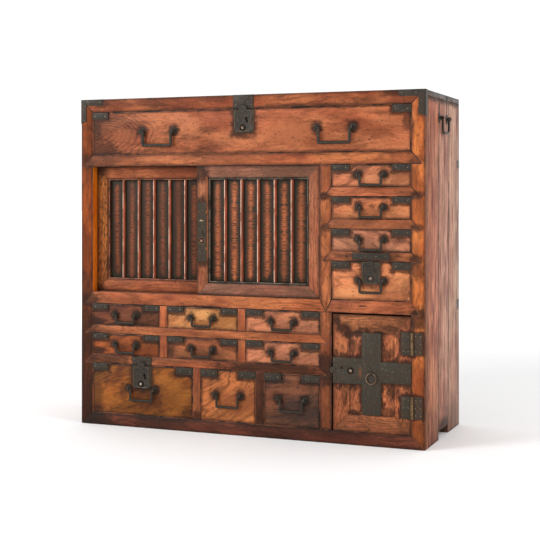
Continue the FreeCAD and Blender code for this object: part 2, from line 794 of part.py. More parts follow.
def drawer_lock(label, kind, x, top):
    """A drawer lock: plate with a round tab over the rail, and the bolt behind it."""
    rules = lock_sizes(kind)
    front_top = less(top, size("drawer_top_gap"))
    plate_blank = frustum(f"{label}_lock_blank", part_of(rules["width"], 2), rules["height"], rules["depth"],
                          rules["slope"], x, face_plane, front_top)
    tab_back = less(front_plane, size("lock_tab_clearance"))
    tab = rod(f"{label}_lock_tab", rules["tab_radius"], size("lock_tab_thickness"), x,
              less(tab_back, size("lock_tab_thickness")), less(top, rules["tab_drop"]), along_y)
    button_level = less(top, rules["button_drop"])
    hole = rod(f"{label}_lock_hole", size("lock_hole_radius"), rules["depth"], x,
               less(face_plane, rules["depth"]), button_level, along_y)
    key_x = add(x, size("lock_key_offset"))
    key_level = less(top, rules["key_drop"])
    key_round = rod(f"{label}_key_round", size("key_hole_radius"), rules["depth"], key_x,
                    less(face_plane, rules["depth"]), key_level, along_y)
    slot_half = part_of(size("key_hole_radius"), 2)
    key_slot = board(f"{label}_key_slot", (less(key_x, slot_half), add(key_x, slot_half)),
                     (less(face_plane, rules["depth"]), face_plane),
                     (less(key_level, size("key_slot_height")), key_level))
    key_hole = joined(f"{label}_key_hole", [key_round, key_slot])
    lock_plate = cut_away(f"{label}_lock_plate", joined(f"{label}_lock_body", [plate_blank, tab]),
                          [hole, key_hole])
    half = part_of(size("bolt_width"), 2)
    foot = less(button_level, part_of(size("bolt_width"), 2))
    bolt_bar = board(f"{label}_bolt_bar", (less(x, half), add(x, half)), (bolt_depth_low, bolt_depth_high),
                     (foot, less(front_top, size("bolt_clearance"))))
    knob_front = less(face_plane, rules["depth"], size("knob_reach"))
    knob = rod(f"{label}_knob", size("knob_radius"), less(bolt_depth_low, knob_front), x, knob_front,
               button_level, along_y)
    node(f"{label}_bolt", [joined(f"{label}_bolt_whole", [bolt_bar, knob])])
    play = add(half, size("bolt_clearance"))
    channel = board(f"{label}_bolt_channel", (less(x, play), add(x, play)),
                    (face_plane, add(bolt_depth_high, size("bolt_clearance"))),
                    (less(foot, size("bolt_clearance")), top))
    return lock_plate, channel


def drawer(label, x, z, strap_height, handles, lock=None):
    """A drawer: five boards, corner straps, handle pins and, on some, a lock.

    handles holds (place across, spacing, drop, level, bail radius, rose radius, handle's label).
    """
    low_x = add(x[0], size("drawer_side_gap"))
    high_x = less(x[1], size("drawer_side_gap"))
    low_z = add(z[0], size("drawer_rest_gap"))
    high_z = less(z[1], size("drawer_top_gap"))
    side_top = less(high_z, size("drawer_side_drop"))
    bottom_top = add(low_z, size("drawer_bottom_thickness"))
    left_wall = add(low_x, size("drawer_wall_thickness"))
    right_wall = less(high_x, size("drawer_wall_thickness"))
    back_wall = less(drawer_end, size("drawer_wall_thickness"))
    face = board(f"{label}_face", (low_x, high_x), (face_plane, front_back), (low_z, high_z))
    cuts = []
    irons = []
    for across, spacing, drop, level, bail, rose, handle_label in handles:
        half = part_of(spacing, 2)
        for side, pin_x in (("left", less(across, half)), ("right", add(across, half))):
            name = f"{handle_label}_{side}_pin"
            cuts.append(rod(f"{name}_drilling", size("shank_radius"), size("drawer_front_thickness"), pin_x,
                            face_plane, level, along_y))
            irons.append(eye_pin(name, bail, rose, size("drawer_front_thickness"), pin_x, face_plane, level))
        bail_handle(handle_label, spacing, drop, bail, across, less(face_plane, standoff(bail)), level)
    for side, strap_x in (("left", (low_x, add(low_x, size("strap_length")))),
                          ("right", (less(high_x, size("strap_length")), high_x))):
        irons.append(board(f"{label}_{side}_strap", strap_x, (less(face_plane, size("strap_thickness")), face_plane),
                           (less(high_z, strap_height), high_z)))
    if lock is not None:
        lock_plate, channel = drawer_lock(label, lock, middle(x[0], x[1]), z[1])
        irons.append(lock_plate)
        cuts.append(channel)
    walls = [
        board(f"{label}_bottom", (low_x, high_x), (front_back, drawer_end), (low_z, bottom_top)),
        board(f"{label}_left_wall", (low_x, left_wall), (front_back, drawer_end), (bottom_top, side_top)),
        board(f"{label}_right_wall", (right_wall, high_x), (front_back, drawer_end), (bottom_top, side_top)),
        board(f"{label}_back_wall", (left_wall, right_wall), (back_wall, drawer_end), (bottom_top, side_top)),
    ]
    node(label, [cut_away(f"{label}_front", face, cuts)] + walls + irons)


small_bail = size("bail_radius")
wide_bail = size("wide_bail_radius")
small_rose = size("rose_radius")
wide_rose = size("wide_rose_radius")

wide_level = add(middle(wide_floor, wide_top), size("wide_handle_rise"))
wide_handles = [
    (f"{sign} * {size('wide_handle_offset')}", size("wide_handle_spacing"), size("wide_handle_drop"), wide_level,
     wide_bail, wide_rose, f"wide_drawer_{side}_handle")
    for side, sign in (("left", -1), ("right", 1))
]
drawer("wide_drawer", (left_inner, right_inner), (wide_floor, wide_top), size("tall_strap_height"),
       wide_handles, "raised")

for index, (low, high) in enumerate(right_openings, start=1):
    label = f"right_drawer_{index}"
    tall = index == 4
    rise = size("tall_handle_rise") if tall else size("right_handle_rise")
    drop = size("tall_handle_drop") if tall else size("right_handle_drop")
    drawer(label, (column_left, right_inner), (low, high),
           size("tall_strap_height") if tall else size("small_strap_height"),
           [(column_middle, size("right_handle_spacing"), drop, add(middle(low, high), rise), small_bail,
             small_rose, f"{label}_handle")],
           "flat" if tall else None)

for row, (low, high) in enumerate(((row_one_floor, row_one_top), (row_two_floor, row_two_top))):
    for column, opening in enumerate(small_openings):
        label = f"small_drawer_{3 * row + column + 1}"
        drawer(label, opening, (low, high), size("small_strap_height"),
               [(middle(*opening), size("small_handle_spacing"), size("small_handle_drop"),
                 add(middle(low, high), size("small_handle_rise")), small_bail, small_rose, f"{label}_handle")])

for index, opening in enumerate(bottom_openings, start=1):
    label = f"bottom_drawer_{index}"
    rise = size("first_handle_rise") if index == 1 else size("bottom_handle_rise")
    spacing = size("first_handle_spacing") if index == 1 else size("bottom_handle_spacing")
    drawer(label, opening, (floor_level, bottom_row_top), size("tall_strap_height"),
           [(middle(*opening), spacing, size("bottom_handle_drop"),
             add(middle(floor_level, bottom_row_top), rise), small_bail, small_rose, f"{label}_handle")],
           "raised" if index == 1 else None)

# The bails on the chest's two sides.
side_mounts = []
for side, edge, sign in (("left", left_edge, -1), ("right", right_edge, 1)):
    outward = Rotation(Vector(0, 0, 1), 90 * sign)
    for end, pin_y in (("front", less("0", side_span)), ("back", side_span)):
        side_mounts.append(eye_pin(f"{side}_side_{end}_pin", wide_bail, wide_rose, size("side_board_thickness"),
                                   edge, pin_y, side_handle_level, outward))
    bail_handle(f"{side}_side_handle", size("side_handle_spacing"), size("side_handle_drop"), wide_bail,
                add(edge, f"{sign} * ({standoff(wide_bail)})"), "0", side_handle_level, outward)

# ---------------------------------------------------------------------------------------
# Sliding doors
# ---------------------------------------------------------------------------------------

sliding_width = part_of(add(less(block_right, left_inner), size("sliding_overlap")), 2)
door_foot = add(sill_level, size("sliding_edge_gap"))
door_head = less(long_rail_foot, size("sliding_edge_gap"))
bar_count = 5


def sliding_door(label, low_x, face, extras=(), cuts=()):
    """A sliding door: mitred frame with a bead, five bars and a thin panel behind them."""
    high_x = add(low_x, sliding_width)
    back = add(face, size("sliding_thickness"))
    frame_width = size("sliding_frame_width")
    centre = add(face, part_of(size("sliding_thickness"), 2))
    tongue_half = part_of(size("tongue_thickness"), 2)
    tongue_span = (less(centre, tongue_half), add(centre, tongue_half))
    whole = board(f"{label}_blank", (low_x, high_x), (face, back), (door_foot, door_head))
    hole_x = (add(low_x, frame_width), less(high_x, frame_width))
    hole_z = (add(door_foot, frame_width), less(door_head, frame_width))
    hole = board(f"{label}_hole", hole_x, (face, back), hole_z)
    ring = cut_away(f"{label}_ring", whole, [hole])
    lower_tongue = board(f"{label}_lower_tongue", (low_x, high_x), tongue_span,
                         (less(add(sill_level, size("tongue_end_gap")), size("lower_groove_depth")), door_foot))
    upper_tongue = board(f"{label}_upper_tongue", (low_x, high_x), tongue_span,
                         (door_head, add(long_rail_foot, size("upper_tongue_reach"))))
    frame = joined(f"{label}_frame_blank", [ring, lower_tongue, upper_tongue])
    if cuts:
        frame = cut_away(f"{label}_frame", frame, list(cuts))
    bead_width = size("sliding_bead_width")
    bead_x = (add(hole_x[0], bead_width), less(hole_x[1], bead_width))
    bead_z = (add(hole_z[0], bead_width), less(hole_z[1], bead_width))
    bar_face = add(face, size("sliding_bead_drop"))
    bar_back = add(bar_face, size("sliding_bar_drop"), size("sliding_bar_depth"))
    bead_blank = board(f"{label}_bead_blank", hole_x, (bar_face, bar_back), hole_z)
    bead_hole = board(f"{label}_bead_hole", bead_x, (bar_face, bar_back), bead_z)
    bead = cut_away(f"{label}_bead", bead_blank, [bead_hole])
    panel = board(f"{label}_panel", hole_x, (bar_back, add(bar_back, size("sliding_panel_thickness"))), hole_z)
    pitch = part_of(less(hole_x[1], hole_x[0]), bar_count + 1)
    bar_half = part_of(size("sliding_bar_width"), 2)
    bars = []
    for count in range(1, bar_count + 1):
        bar_x = add(hole_x[0], f"{count} * ({pitch})")
        bars.append(board(f"{label}_bar_{count}", (less(bar_x, bar_half), add(bar_x, bar_half)),
                          (add(bar_face, size("sliding_bar_drop")), bar_back), bead_z))
    return node(label, [frame, bead, panel] + bars + list(extras))


sliding_door("left_sliding_door", add(left_inner, size("sliding_edge_gap")), rear_door_face)

# The right door carries a slim lock on its left stile; its latch works inside that stile.
right_door_left = less(block_right, size("sliding_edge_gap"), sliding_width)
slim_half = part_of(size("slim_plate_width"), 2)
slim_x = add(right_door_left, slim_half, part_of(less(size("sliding_frame_width"), size("slim_plate_width")), 2))
slim_foot = add(sill_level, size("slim_plate_rise"))
neck = size("slim_plate_neck")
shoulder = add(neck, neck)
slim_outline = [
    (less("0", less(slim_half, neck)), "0"),
    (less(slim_half, neck), "0"),
    (slim_half, neck),
    (slim_half, add(shoulder, shoulder)),
    (less(slim_half, neck), add(shoulder, shoulder, neck)),
    (slim_half, add(shoulder, shoulder, shoulder)),
    (slim_half, less(size("slim_plate_height"), neck)),
    (less(slim_half, neck), size("slim_plate_height")),
    (less("0", less(slim_half, neck)), size("slim_plate_height")),
    (less("0", slim_half), less(size("slim_plate_height"), neck)),
    (less("0", slim_half), add(shoulder, shoulder, shoulder)),
    (less("0", less(slim_half, neck)), add(shoulder, shoulder, neck)),
    (less("0", slim_half), add(shoulder, shoulder)),
    (less("0", slim_half), neck),
]
slim_blank = plate("slim_plate_blank", slim_outline, size("strike_thickness"), slim_x, front_door_face,
                   slim_foot)
slim_button = add(slim_foot, size("slim_button_rise"))
slim_key = add(slim_foot, size("slim_key_rise"))
slim_front = less(front_door_face, size("strike_thickness"))
slim_hole = rod("slim_hole", size("slim_hole_radius"), size("strike_thickness"), slim_x, slim_front,
                slim_button, along_y)
slim_key_hole = rod("slim_key_hole", size("key_hole_radius"), size("strike_thickness"),
                    add(slim_x, part_of(slim_half, 2)), slim_front, slim_key, along_y)
slim_plate = cut_away("slim_plate", slim_blank, [slim_hole, slim_key_hole])
staple_half = part_of(slim_half, 2)
slim_staple = board("slim_staple", (less(slim_x, staple_half), add(slim_x, staple_half)),
                    (less(slim_front, size("strike_thickness")), slim_front),
                    (add(slim_foot, size("slim_staple_rise")),
                     add(slim_foot, size("slim_staple_rise"), neck)))
latch_half = part_of(size("slim_bolt_width"), 2)
latch_front = add(front_door_face, size("bolt_inset"))
latch_back = add(latch_front, size("bolt_thickness"))
latch_foot = less(slim_button, size("slim_hole_radius"))
latch_head = add(slim_button, size("slim_hole_radius"))
latch_bar = board("latch_bar", (less(slim_x, latch_half), add(slim_x, latch_half)), (latch_front, latch_back),
                  (latch_foot, latch_head))
latch_knob_front = less(slim_front, size("knob_reach"))
latch_knob = rod("latch_knob", size("slim_knob_radius"), less(latch_front, latch_knob_front), slim_x,
                 latch_knob_front, slim_button, along_y)
node("sliding_door_latch", [joined("latch_whole", [latch_bar, latch_knob])])
latch_play = add(latch_half, size("bolt_clearance"))
latch_room = board("latch_room", (less(slim_x, latch_play), add(slim_x, latch_play)),
                   (front_door_face, add(latch_back, size("bolt_clearance"))),
                   (less(latch_foot, size("bolt_clearance")),
                    add(latch_head, size("bolt_travel"), size("bolt_clearance"))))
sliding_door("right_sliding_door", right_door_left, front_door_face, [slim_plate, slim_staple], [latch_room])

# ---------------------------------------------------------------------------------------
# Hinged door, its iron, hinges and ring pull
# ---------------------------------------------------------------------------------------

door_left = add(column_left, size("door_left_gap"))
door_right = less(right_inner, size("door_hinge_gap"))
door_low = add(floor_level, size("door_foot_gap"))
door_high = less(row_one_top, size("door_top_gap"))
door_back = add(face_plane, size("door_thickness"))
door_depth = (face_plane, door_back)
stile_x = (add(door_left, size("door_stile_width")), less(door_right, size("door_stile_width")))
rail_z = (add(door_low, size("door_rail_height")), less(door_high, size("door_rail_height")))

# Iron across the door: the lock plate on the left, an upright plate, a band to the right.
door_middle = middle(door_left, door_right)
iron_back = face_plane
iron_front = less(face_plane, size("door_iron_thickness"))
iron_depth = (iron_front, iron_back)
upright_x = (less(door_middle, part_of(size("door_plate_width"), 2)),
             add(door_middle, part_of(size("door_plate_width"), 2)))
band_half = part_of(size("door_band_height"), 2)
lock_half = part_of(size("door_lock_height"), 2)
button_x = add(door_left, size("door_button_inset"))
door_hole = rod("door_hole", size("lock_hole_radius"), size("door_iron_thickness"), button_x, iron_front,
                door_iron_middle, along_y)
door_key = rod("door_key_round", size("key_hole_radius"), size("door_iron_thickness"),
               add(door_left, part_of(size("door_button_inset"), 2)), iron_front,
               add(door_iron_middle, size("key_hole_radius"), size("key_hole_radius")), along_y)
door_lock_blank = board("door_lock_blank", (door_left, upright_x[0]), iron_depth,
                        (less(door_iron_middle, lock_half), add(door_iron_middle, lock_half)))
door_tab = rod("door_tab", size("door_lock_tab_radius"), size("lock_tab_thickness"), door_left,
               less(front_plane, size("lock_tab_clearance"), size("lock_tab_thickness")), door_iron_middle, along_y)
door_lock_plate = cut_away("door_lock_plate", joined("door_lock_whole", [door_lock_blank, door_tab]),
                           [door_hole, door_key])
upright_blank = board("upright_blank", upright_x, iron_depth, rail_z)

# The ring hangs in an eye on the upright plate.
ring_outer = add(size("ring_wire_radius"), size("ring_eye_clearance"), size("ring_eye_wall"))
ring_y = less(iron_front, ring_outer)
ring_level = add(floor_level, size("ring_rise"))
ring_eye_half = part_of(size("ring_eye_width"), 2)
ring_shell = rod("ring_shell", ring_outer, size("ring_eye_width"), less(door_middle, ring_eye_half), ring_y,
                 ring_level, along_x)
ring_shank = rod("ring_shank", size("shank_radius"),
                 add(ring_outer, size("door_iron_thickness"), size("door_panel_thickness")),
                 door_middle, ring_y, ring_level, along_y)
ring_bore = rod("ring_bore", add(size("ring_wire_radius"), size("ring_eye_clearance")), size("ring_eye_width"),
                less(door_middle, ring_eye_half), ring_y, ring_level, along_x)
ring_eye = cut_away("ring_eye", joined("ring_eye_blank", [ring_shell, ring_shank]), [ring_bore])
upright_hole = rod("upright_hole", size("shank_radius"), size("door_iron_thickness"), door_middle, iron_front,
                   ring_level, along_y)
panel_hole = rod("panel_hole", size("shank_radius"), size("door_panel_thickness"), door_middle, face_plane,
                 ring_level, along_y)
ring_wire = ring_piece("ring_wire", size("ring_radius"), size("ring_wire_radius"), 360, door_middle, ring_y,
                       less(ring_level, size("ring_radius")), upright)
node("ring_pull", [ring_wire])
upright_plate = cut_away("upright_plate", upright_blank, [upright_hole])

# The band stops short of the hinge leaves.
leaf_x = less(door_right, size("hinge_leaf_width"))
band = board("door_band", (upright_x[1], door_right), iron_depth,
             (less(door_iron_middle, band_half), add(door_iron_middle, band_half)))

door_bolt_tip = less(door_left, size("door_bolt_reach"))
door_bolt_end = add(button_x, part_of(size("bolt_width"), 2))
door_bolt_bar = board("door_bolt_bar", (door_bolt_tip, door_bolt_end), (bolt_depth_low, bolt_depth_high),
                      (less(door_iron_middle, part_of(size("bolt_width"), 2)),
                       add(door_iron_middle, part_of(size("bolt_width"), 2))))
door_knob_front = less(iron_front, size("knob_reach"))
door_knob = rod("door_knob", size("knob_radius"), less(bolt_depth_low, door_knob_front), button_x,
                door_knob_front, door_iron_middle, along_y)
node("hinged_door_bolt", [joined("door_bolt_whole", [door_bolt_bar, door_knob])])
door_channel = board("door_channel", (door_left, add(door_bolt_end, size("bolt_clearance"))),
                     (face_plane, add(bolt_depth_high, size("bolt_clearance"))),
                     (less(door_iron_middle, door_bolt_half), add(door_iron_middle, door_bolt_half)))

# Mitred frame: two rails between two stiles, with a flush panel let in.
door_rails = []
for name, span, upwards in (("lower", (door_low, rail_z[0]), False), ("upper", (rail_z[1], door_high), True)):
    rail = mitred_rail(f"door_{name}_rail_long", stile_x, span, size("door_stile_width"),
                       size("door_stile_width"), upwards)
    for low, high in (("Zmin", "Zmax"), ("Z2min", "Z2max")):
        rail.setExpression(low, less("0", size("door_thickness")))
    rail.setExpression("Placement.Base.y", face_plane)
    door_rails.append(rail)
door_stiles = []
for name, span, cuts in (("left", (door_left, stile_x[0]), [door_channel]), ("right", (stile_x[1], door_right), [])):
    blank = board(f"door_{name}_stile_blank", span, door_depth, (door_low, door_high))
    door_stiles.append(cut_away(f"door_{name}_stile", blank, door_rails + cuts))
panel_back = add(face_plane, size("door_panel_thickness"))
door_panel = board("door_panel_blank", stile_x, (face_plane, panel_back), rail_z)
door_panel_bored = cut_away("door_panel", door_panel, [panel_hole, door_channel])
node("hinged_door", door_rails + door_stiles + [door_panel_bored])

hinge_x = add(right_inner, size("hinge_axis_offset"))
hinge_y = less(front_plane, size("hinge_knuckle_radius"))
knuckle = part_of(less(size("hinge_length"), add(size("hinge_knuckle_gap"), size("hinge_knuckle_gap"))), 3)
door_leaves = []
case_leaves = []
pin_hole_radius = add(size("hinge_pin_radius"), size("hinge_pin_clearance"))
for name, rise in (("upper", size("hinge_upper_rise")), ("lower", size("hinge_lower_rise"))):
    level = add(floor_level, rise)
    top_level = add(level, size("hinge_length"))
    centre_low = add(level, knuckle, size("hinge_knuckle_gap"))
    centre_high = add(centre_low, knuckle)
    leaf_thickness = size("hinge_leaf_thickness")
    door_leaf = board(f"{name}_door_leaf", (less(leaf_x, size("hinge_knuckle_radius")), door_right),
                      (less(face_plane, leaf_thickness), face_plane), (level, top_level))
    door_tongue = board(f"{name}_door_tongue", (door_right, hinge_x),
                        (less(face_plane, leaf_thickness), less(front_plane, size("lock_tab_clearance"))),
                        (centre_low, centre_high))
    door_barrel = rod(f"{name}_door_barrel", size("hinge_knuckle_radius"), knuckle, hinge_x,
                      less(hinge_y, size("lock_tab_clearance")), centre_low)
    door_bore = rod(f"{name}_door_bore", pin_hole_radius, knuckle, hinge_x,
                    less(hinge_y, size("lock_tab_clearance")), centre_low)
    door_leaves.append(cut_away(f"{name}_door_hinge",
                                joined(f"{name}_door_hinge_blank", [door_leaf, door_tongue, door_barrel]),
                                [door_bore]))
    case_leaf = board(f"{name}_case_leaf",
                      (add(hinge_x, size("hinge_knuckle_radius"), size("hinge_knuckle_gap")),
                       add(hinge_x, size("hinge_knuckle_radius"), size("hinge_leaf_width"))),
                      (less(front_plane, leaf_thickness), front_plane), (level, top_level))
    case_pieces = [case_leaf]
    for end, foot in (("low", level), ("high", less(top_level, knuckle))):
        case_pieces.append(rod(f"{name}_{end}_barrel", size("hinge_knuckle_radius"), knuckle, hinge_x,
                               less(hinge_y, size("lock_tab_clearance")), foot))
        case_pieces.append(board(f"{name}_{end}_tongue",
                                 (hinge_x, add(hinge_x, size("hinge_knuckle_radius"), size("hinge_leaf_width"))),
                                 (less(front_plane, leaf_thickness), front_plane), (foot, add(foot, knuckle))))
    pin = rod(f"{name}_hinge_pin", size("hinge_pin_radius"), size("hinge_length"), hinge_x,
              less(hinge_y, size("lock_tab_clearance")), level)
    case_leaves.append(joined(f"{name}_case_hinge", case_pieces + [pin]))
node("door_irons", [door_lock_plate, upright_plate, band, ring_eye] + door_leaves)
node("case_hinge_leaves", case_leaves)

# ---------------------------------------------------------------------------------------
# Iron on the case
# ---------------------------------------------------------------------------------------

iron_width = size("corner_iron_width")
slant = size("corner_iron_slant")
corner_outline = [
    ("0", "0"),
    (size("corner_iron_length"), "0"),
    (less(size("corner_iron_length"), slant), less("0", iron_width)),
    (iron_width, less("0", iron_width)),
    (iron_width, less(slant, size("corner_iron_drop"))),
    ("0", less("0", size("corner_iron_drop"))),
]
iron_thickness = size("corner_iron_thickness")
case_irons = []
for side, edge, sign in (("left", left_edge, -1), ("right", right_edge, 1)):
    case_irons.append(plate(f"{side}_corner_iron", corner_outline, iron_thickness, edge, front_plane, top_plane,
                            mirrored=sign > 0))
    wrap_x = (less(edge, iron_thickness), edge) if sign < 0 else (edge, add(edge, iron_thickness))
    case_irons.append(board(f"{side}_corner_wrap", wrap_x,
                            (front_plane, add(front_plane, size("corner_iron_wrap"))),
                            (less(top_plane, size("corner_iron_drop")), top_plane)))

# Strikes on the rails above the locks, notched round each lock's tab.
strike_depth = (less(front_plane, size("strike_thickness")), front_plane)
strike_half = part_of(size("strike_width"), 2)
for name, x, level, high in (("wide", "0", wide_top, top_plane), ("bottom", first_middle, bottom_row_top, row_two_floor)):
    blank = board(f"{name}_strike_blank", (less(x, strike_half), add(x, strike_half)), strike_depth, (level, high))
    notch = rod(f"{name}_strike_notch", add(size("lock_tab_radius"), size("lock_tab_clearance")),
                size("strike_thickness"), x, strike_depth[0], less(level, size("lock_tab_drop")), along_y)
    case_irons.append(cut_away(f"{name}_strike", blank, [notch]))
strap_half = part_of(size("strike_strap_width"), 2)
strap_low = add(right_openings[3][1], size("strike_strap_rise"))
case_irons.append(board("right_strike", (less(column_middle, strap_half), add(column_middle, strap_half)),
                        strike_depth, (strap_low, add(strap_low, size("strike_strap_height")))))
node("case_irons", case_irons + side_mounts)

# ---------------------------------------------------------------------------------------
# Build, check and write
# ---------------------------------------------------------------------------------------

doc.recompute()
for item in doc.Objects:
    if "Invalid" in item.State or "Error" in item.State:
        raise RuntimeError(f"{item.Label} did not build: {item.State}")
os.makedirs("parts", exist_ok=True)
for item in nodes:
    if item.Shape.isNull() or not item.Shape.isValid() or not item.Shape.Solids:
        raise RuntimeError(f"{item.Label} is not a sound solid")
for item in nodes:
    item.Shape.exportStep(f"parts/{item.Label}.step")
print(f"{len(nodes)} nodes written")
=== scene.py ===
import json
import math

import bmesh
import bpy
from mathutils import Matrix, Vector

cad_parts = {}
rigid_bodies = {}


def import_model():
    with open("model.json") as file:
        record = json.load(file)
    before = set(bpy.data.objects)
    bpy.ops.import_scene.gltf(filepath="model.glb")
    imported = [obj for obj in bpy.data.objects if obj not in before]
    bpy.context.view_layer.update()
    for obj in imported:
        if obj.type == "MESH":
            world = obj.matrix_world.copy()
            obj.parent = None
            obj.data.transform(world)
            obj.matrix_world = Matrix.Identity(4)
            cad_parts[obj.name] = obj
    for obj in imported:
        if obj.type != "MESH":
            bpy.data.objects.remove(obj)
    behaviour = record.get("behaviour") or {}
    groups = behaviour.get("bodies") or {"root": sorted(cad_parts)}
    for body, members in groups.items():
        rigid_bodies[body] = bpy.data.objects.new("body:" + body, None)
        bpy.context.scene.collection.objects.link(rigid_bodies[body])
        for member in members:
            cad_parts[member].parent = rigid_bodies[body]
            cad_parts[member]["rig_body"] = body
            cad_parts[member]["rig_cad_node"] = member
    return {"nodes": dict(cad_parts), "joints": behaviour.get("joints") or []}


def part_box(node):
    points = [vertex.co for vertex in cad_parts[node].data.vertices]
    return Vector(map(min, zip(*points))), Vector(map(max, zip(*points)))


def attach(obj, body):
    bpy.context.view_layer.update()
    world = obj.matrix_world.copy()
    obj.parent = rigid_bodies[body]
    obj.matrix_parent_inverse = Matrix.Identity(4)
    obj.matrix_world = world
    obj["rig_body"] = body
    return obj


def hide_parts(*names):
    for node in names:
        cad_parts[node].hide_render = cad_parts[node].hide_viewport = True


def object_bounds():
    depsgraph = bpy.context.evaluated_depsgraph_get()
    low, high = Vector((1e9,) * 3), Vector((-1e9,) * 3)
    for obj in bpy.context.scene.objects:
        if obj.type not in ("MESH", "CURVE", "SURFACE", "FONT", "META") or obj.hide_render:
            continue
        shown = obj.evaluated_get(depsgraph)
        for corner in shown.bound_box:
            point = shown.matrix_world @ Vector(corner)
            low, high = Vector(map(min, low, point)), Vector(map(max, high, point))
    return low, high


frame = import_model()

cad_low, cad_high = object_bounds()


# ------------------------------------------------------------
# Sides of the case
# Each side is three upright keyaki boards, edge-jointed, with a wiped lacquer that has faded and worn.
# The middle board stops above the floor, and its foot is black.

side_seams = (-0.041, 0.052)
side_foot_rise = 0.021
worn_arris = 0.0012
square_on = 0.985
faded = "a88067 8d5c45 532f24"
# A near-black for grime, also used for painted shade along the edges of faces.
soot_and_shade = "1d1410"
iron_stain = "2b2219"
blush = (1.0, 0.87, 0.88, 1.0)
smoke = (0.22, 0.18, 0.155, 1.0)


def deselect():
    """Clears the selection, so that an operator only acts on the new piece."""
    for item in bpy.context.selected_objects:
        item.select_set(False)


def edit(choice=None):
    """Goes into edit mode and, if asked, selects all or nothing there."""
    bpy.ops.object.mode_set(mode="EDIT")
    if choice:
        bpy.ops.mesh.select_all(action=choice)


def leave_edit():
    bpy.ops.object.mode_set(mode="OBJECT")


def apply_place():
    """Puts the active piece's place, turn and size into its mesh."""
    bpy.ops.object.transform_apply(location=True, rotation=True, scale=True)


def work_on(piece):
    """Selects one piece and makes it active."""
    deselect()
    piece.select_set(True)
    bpy.context.view_layer.objects.active = piece


def settle(piece, turn_limit=35):
    """Applies a piece's place and smooths its round edges, up to that turn in degrees."""
    work_on(piece)
    apply_place()
    bpy.ops.object.shade_smooth_by_angle(angle=math.radians(turn_limit))
    return piece


def block(name, low, high):
    """A cube set to the size and place of a sawn block."""
    deselect()
    middle = [(a + b) / 2 for a, b in zip(low, high)]
    spread = [b - a for a, b in zip(low, high)]
    bpy.ops.mesh.primitive_cube_add(size=1, location=middle, scale=spread)
    piece = bpy.context.object
    piece.name = name
    apply_place()
    return piece


def board(name, low, high, arris=worn_arris, rounds=2):
    """A planed board: a block whose twelve edges are worn round."""
    piece = block(name, low, high)
    edit("SELECT")
    bpy.ops.mesh.bevel(offset=arris, segments=rounds, affect="EDGES")
    leave_edit()
    return settle(piece)


def together(name, pieces):
    """Joins pieces into one object."""
    deselect()
    for piece in pieces:
        piece.select_set(True)
    bpy.context.view_layer.objects.active = pieces[0]
    if len(pieces) > 1:
        bpy.ops.object.join()
    pieces[0].name = name
    return pieces[0]


def fit(piece, body, material, stands_for=(), rubbed=None, least=0.0):
    """Finishes a piece, sets it on its body and hides the solids that it stands for. The edge finish goes
    on the bevelled edges: the faces over the least area that look along no axis. It is wear, and also
    painted highlight and painted shade along those edges."""
    piece.data.materials.clear()
    piece.data.materials.append(material)
    if rubbed:
        give(piece, rubbed, lambda side_face: side_face.area > least
             and max(abs(part) for part in side_face.normal) < square_on)
    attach(piece, body)
    if stands_for:
        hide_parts(*stands_for)
    return piece


def give(piece, finish, wanted):
    """Adds a finish to a piece for the faces that are wanted."""
    piece.data.materials.append(finish)
    for side_face in piece.data.polygons:
        if wanted(side_face):
            side_face.material_index = len(piece.data.materials) - 1


def paint(tone):
    """A colour from its six hex digits, as shown, to the linear values that a shader takes."""
    parts = [int(tone[i:i + 2], 16) / 255 for i in (0, 2, 4)]
    return [p / 12.92 if p <= 0.04045 else ((p + 0.055) / 1.055) ** 2.4 for p in parts] + [1.0]


def add_node(tree, kind, feeds=(), **settings):
    """Adds a shader node, sets it up, and feeds its inputs with values or other nodes' outputs."""
    node = tree.nodes.new("ShaderNode" + kind)
    for setting, value in settings.items():
        setattr(node, setting, value)
    for key, value in dict(feeds).items():
        if isinstance(value, bpy.types.NodeSocket):
            tree.links.new(value, node.inputs[key])
        else:
            node.inputs[key].default_value = value
    return node


def start_finish(name, specular):
    """A new material, its node tree and its shader."""
    made = bpy.data.materials.new(name)
    made.use_nodes = True
    shader = made.node_tree.nodes["Principled BSDF"]
    shader.inputs["Specular IOR Level"].default_value = specular
    return made, made.node_tree, shader


def join_up(tree, shader, tone, roughness, height, strength, depth):
    """Feeds the shader its colour, its roughness and a bump of that strength and depth."""
    bump = add_node(tree, "Bump", {"Height": height, "Strength": strength, "Distance": depth}).outputs[0]
    for key, value in (("Base Color", tone), ("Roughness", roughness), ("Normal", bump)):
        tree.links.new(value, shader.inputs[key])


def stains(*rows):
    """Stains or glows as (centre, radii, strength) in metres, from rows in millimetres."""
    metres = [[value / 1000 for value in row[:4]] + [row[4]] for row in rows]
    return [((x, z), (wide, high), strength) for x, z, wide, high, strength in metres]


def calc(tree, operation, first, second=0.0):
    return add_node(tree, "Math", {0: first, 1: second}, operation=operation).outputs[0]


def fade(tree, value, start, stop, first=0.0, last=1.0):
    """Goes smoothly from first to last while value goes from start to stop."""
    feeds = {"Value": value, "From Min": start, "From Max": stop, "To Min": first, "To Max": last}
    return add_node(tree, "MapRange", feeds, interpolation_type="SMOOTHSTEP").outputs["Result"]


def stretched(tree, vector, amounts):
    return add_node(tree, "VectorMath", {0: vector, 1: amounts}, operation="MULTIPLY").outputs[0]


def grit(tree, vector, amounts, detail=2.0, roughness=0.5):
    """Noise of that many cells per metre along each axis."""
    feeds = {"Vector": stretched(tree, vector, amounts), "Scale": 1.0, "Detail": detail,
             "Roughness": roughness}
    return add_node(tree, "TexNoise", feeds).outputs[0]


def tint(tree, share, first, second, blend="MIX"):
    """Goes from the first colour to the second."""
    feeds = {0: share, 6: first, 7: second}
    return add_node(tree, "Mix", feeds, data_type="RGBA", blend_type=blend).outputs[2]


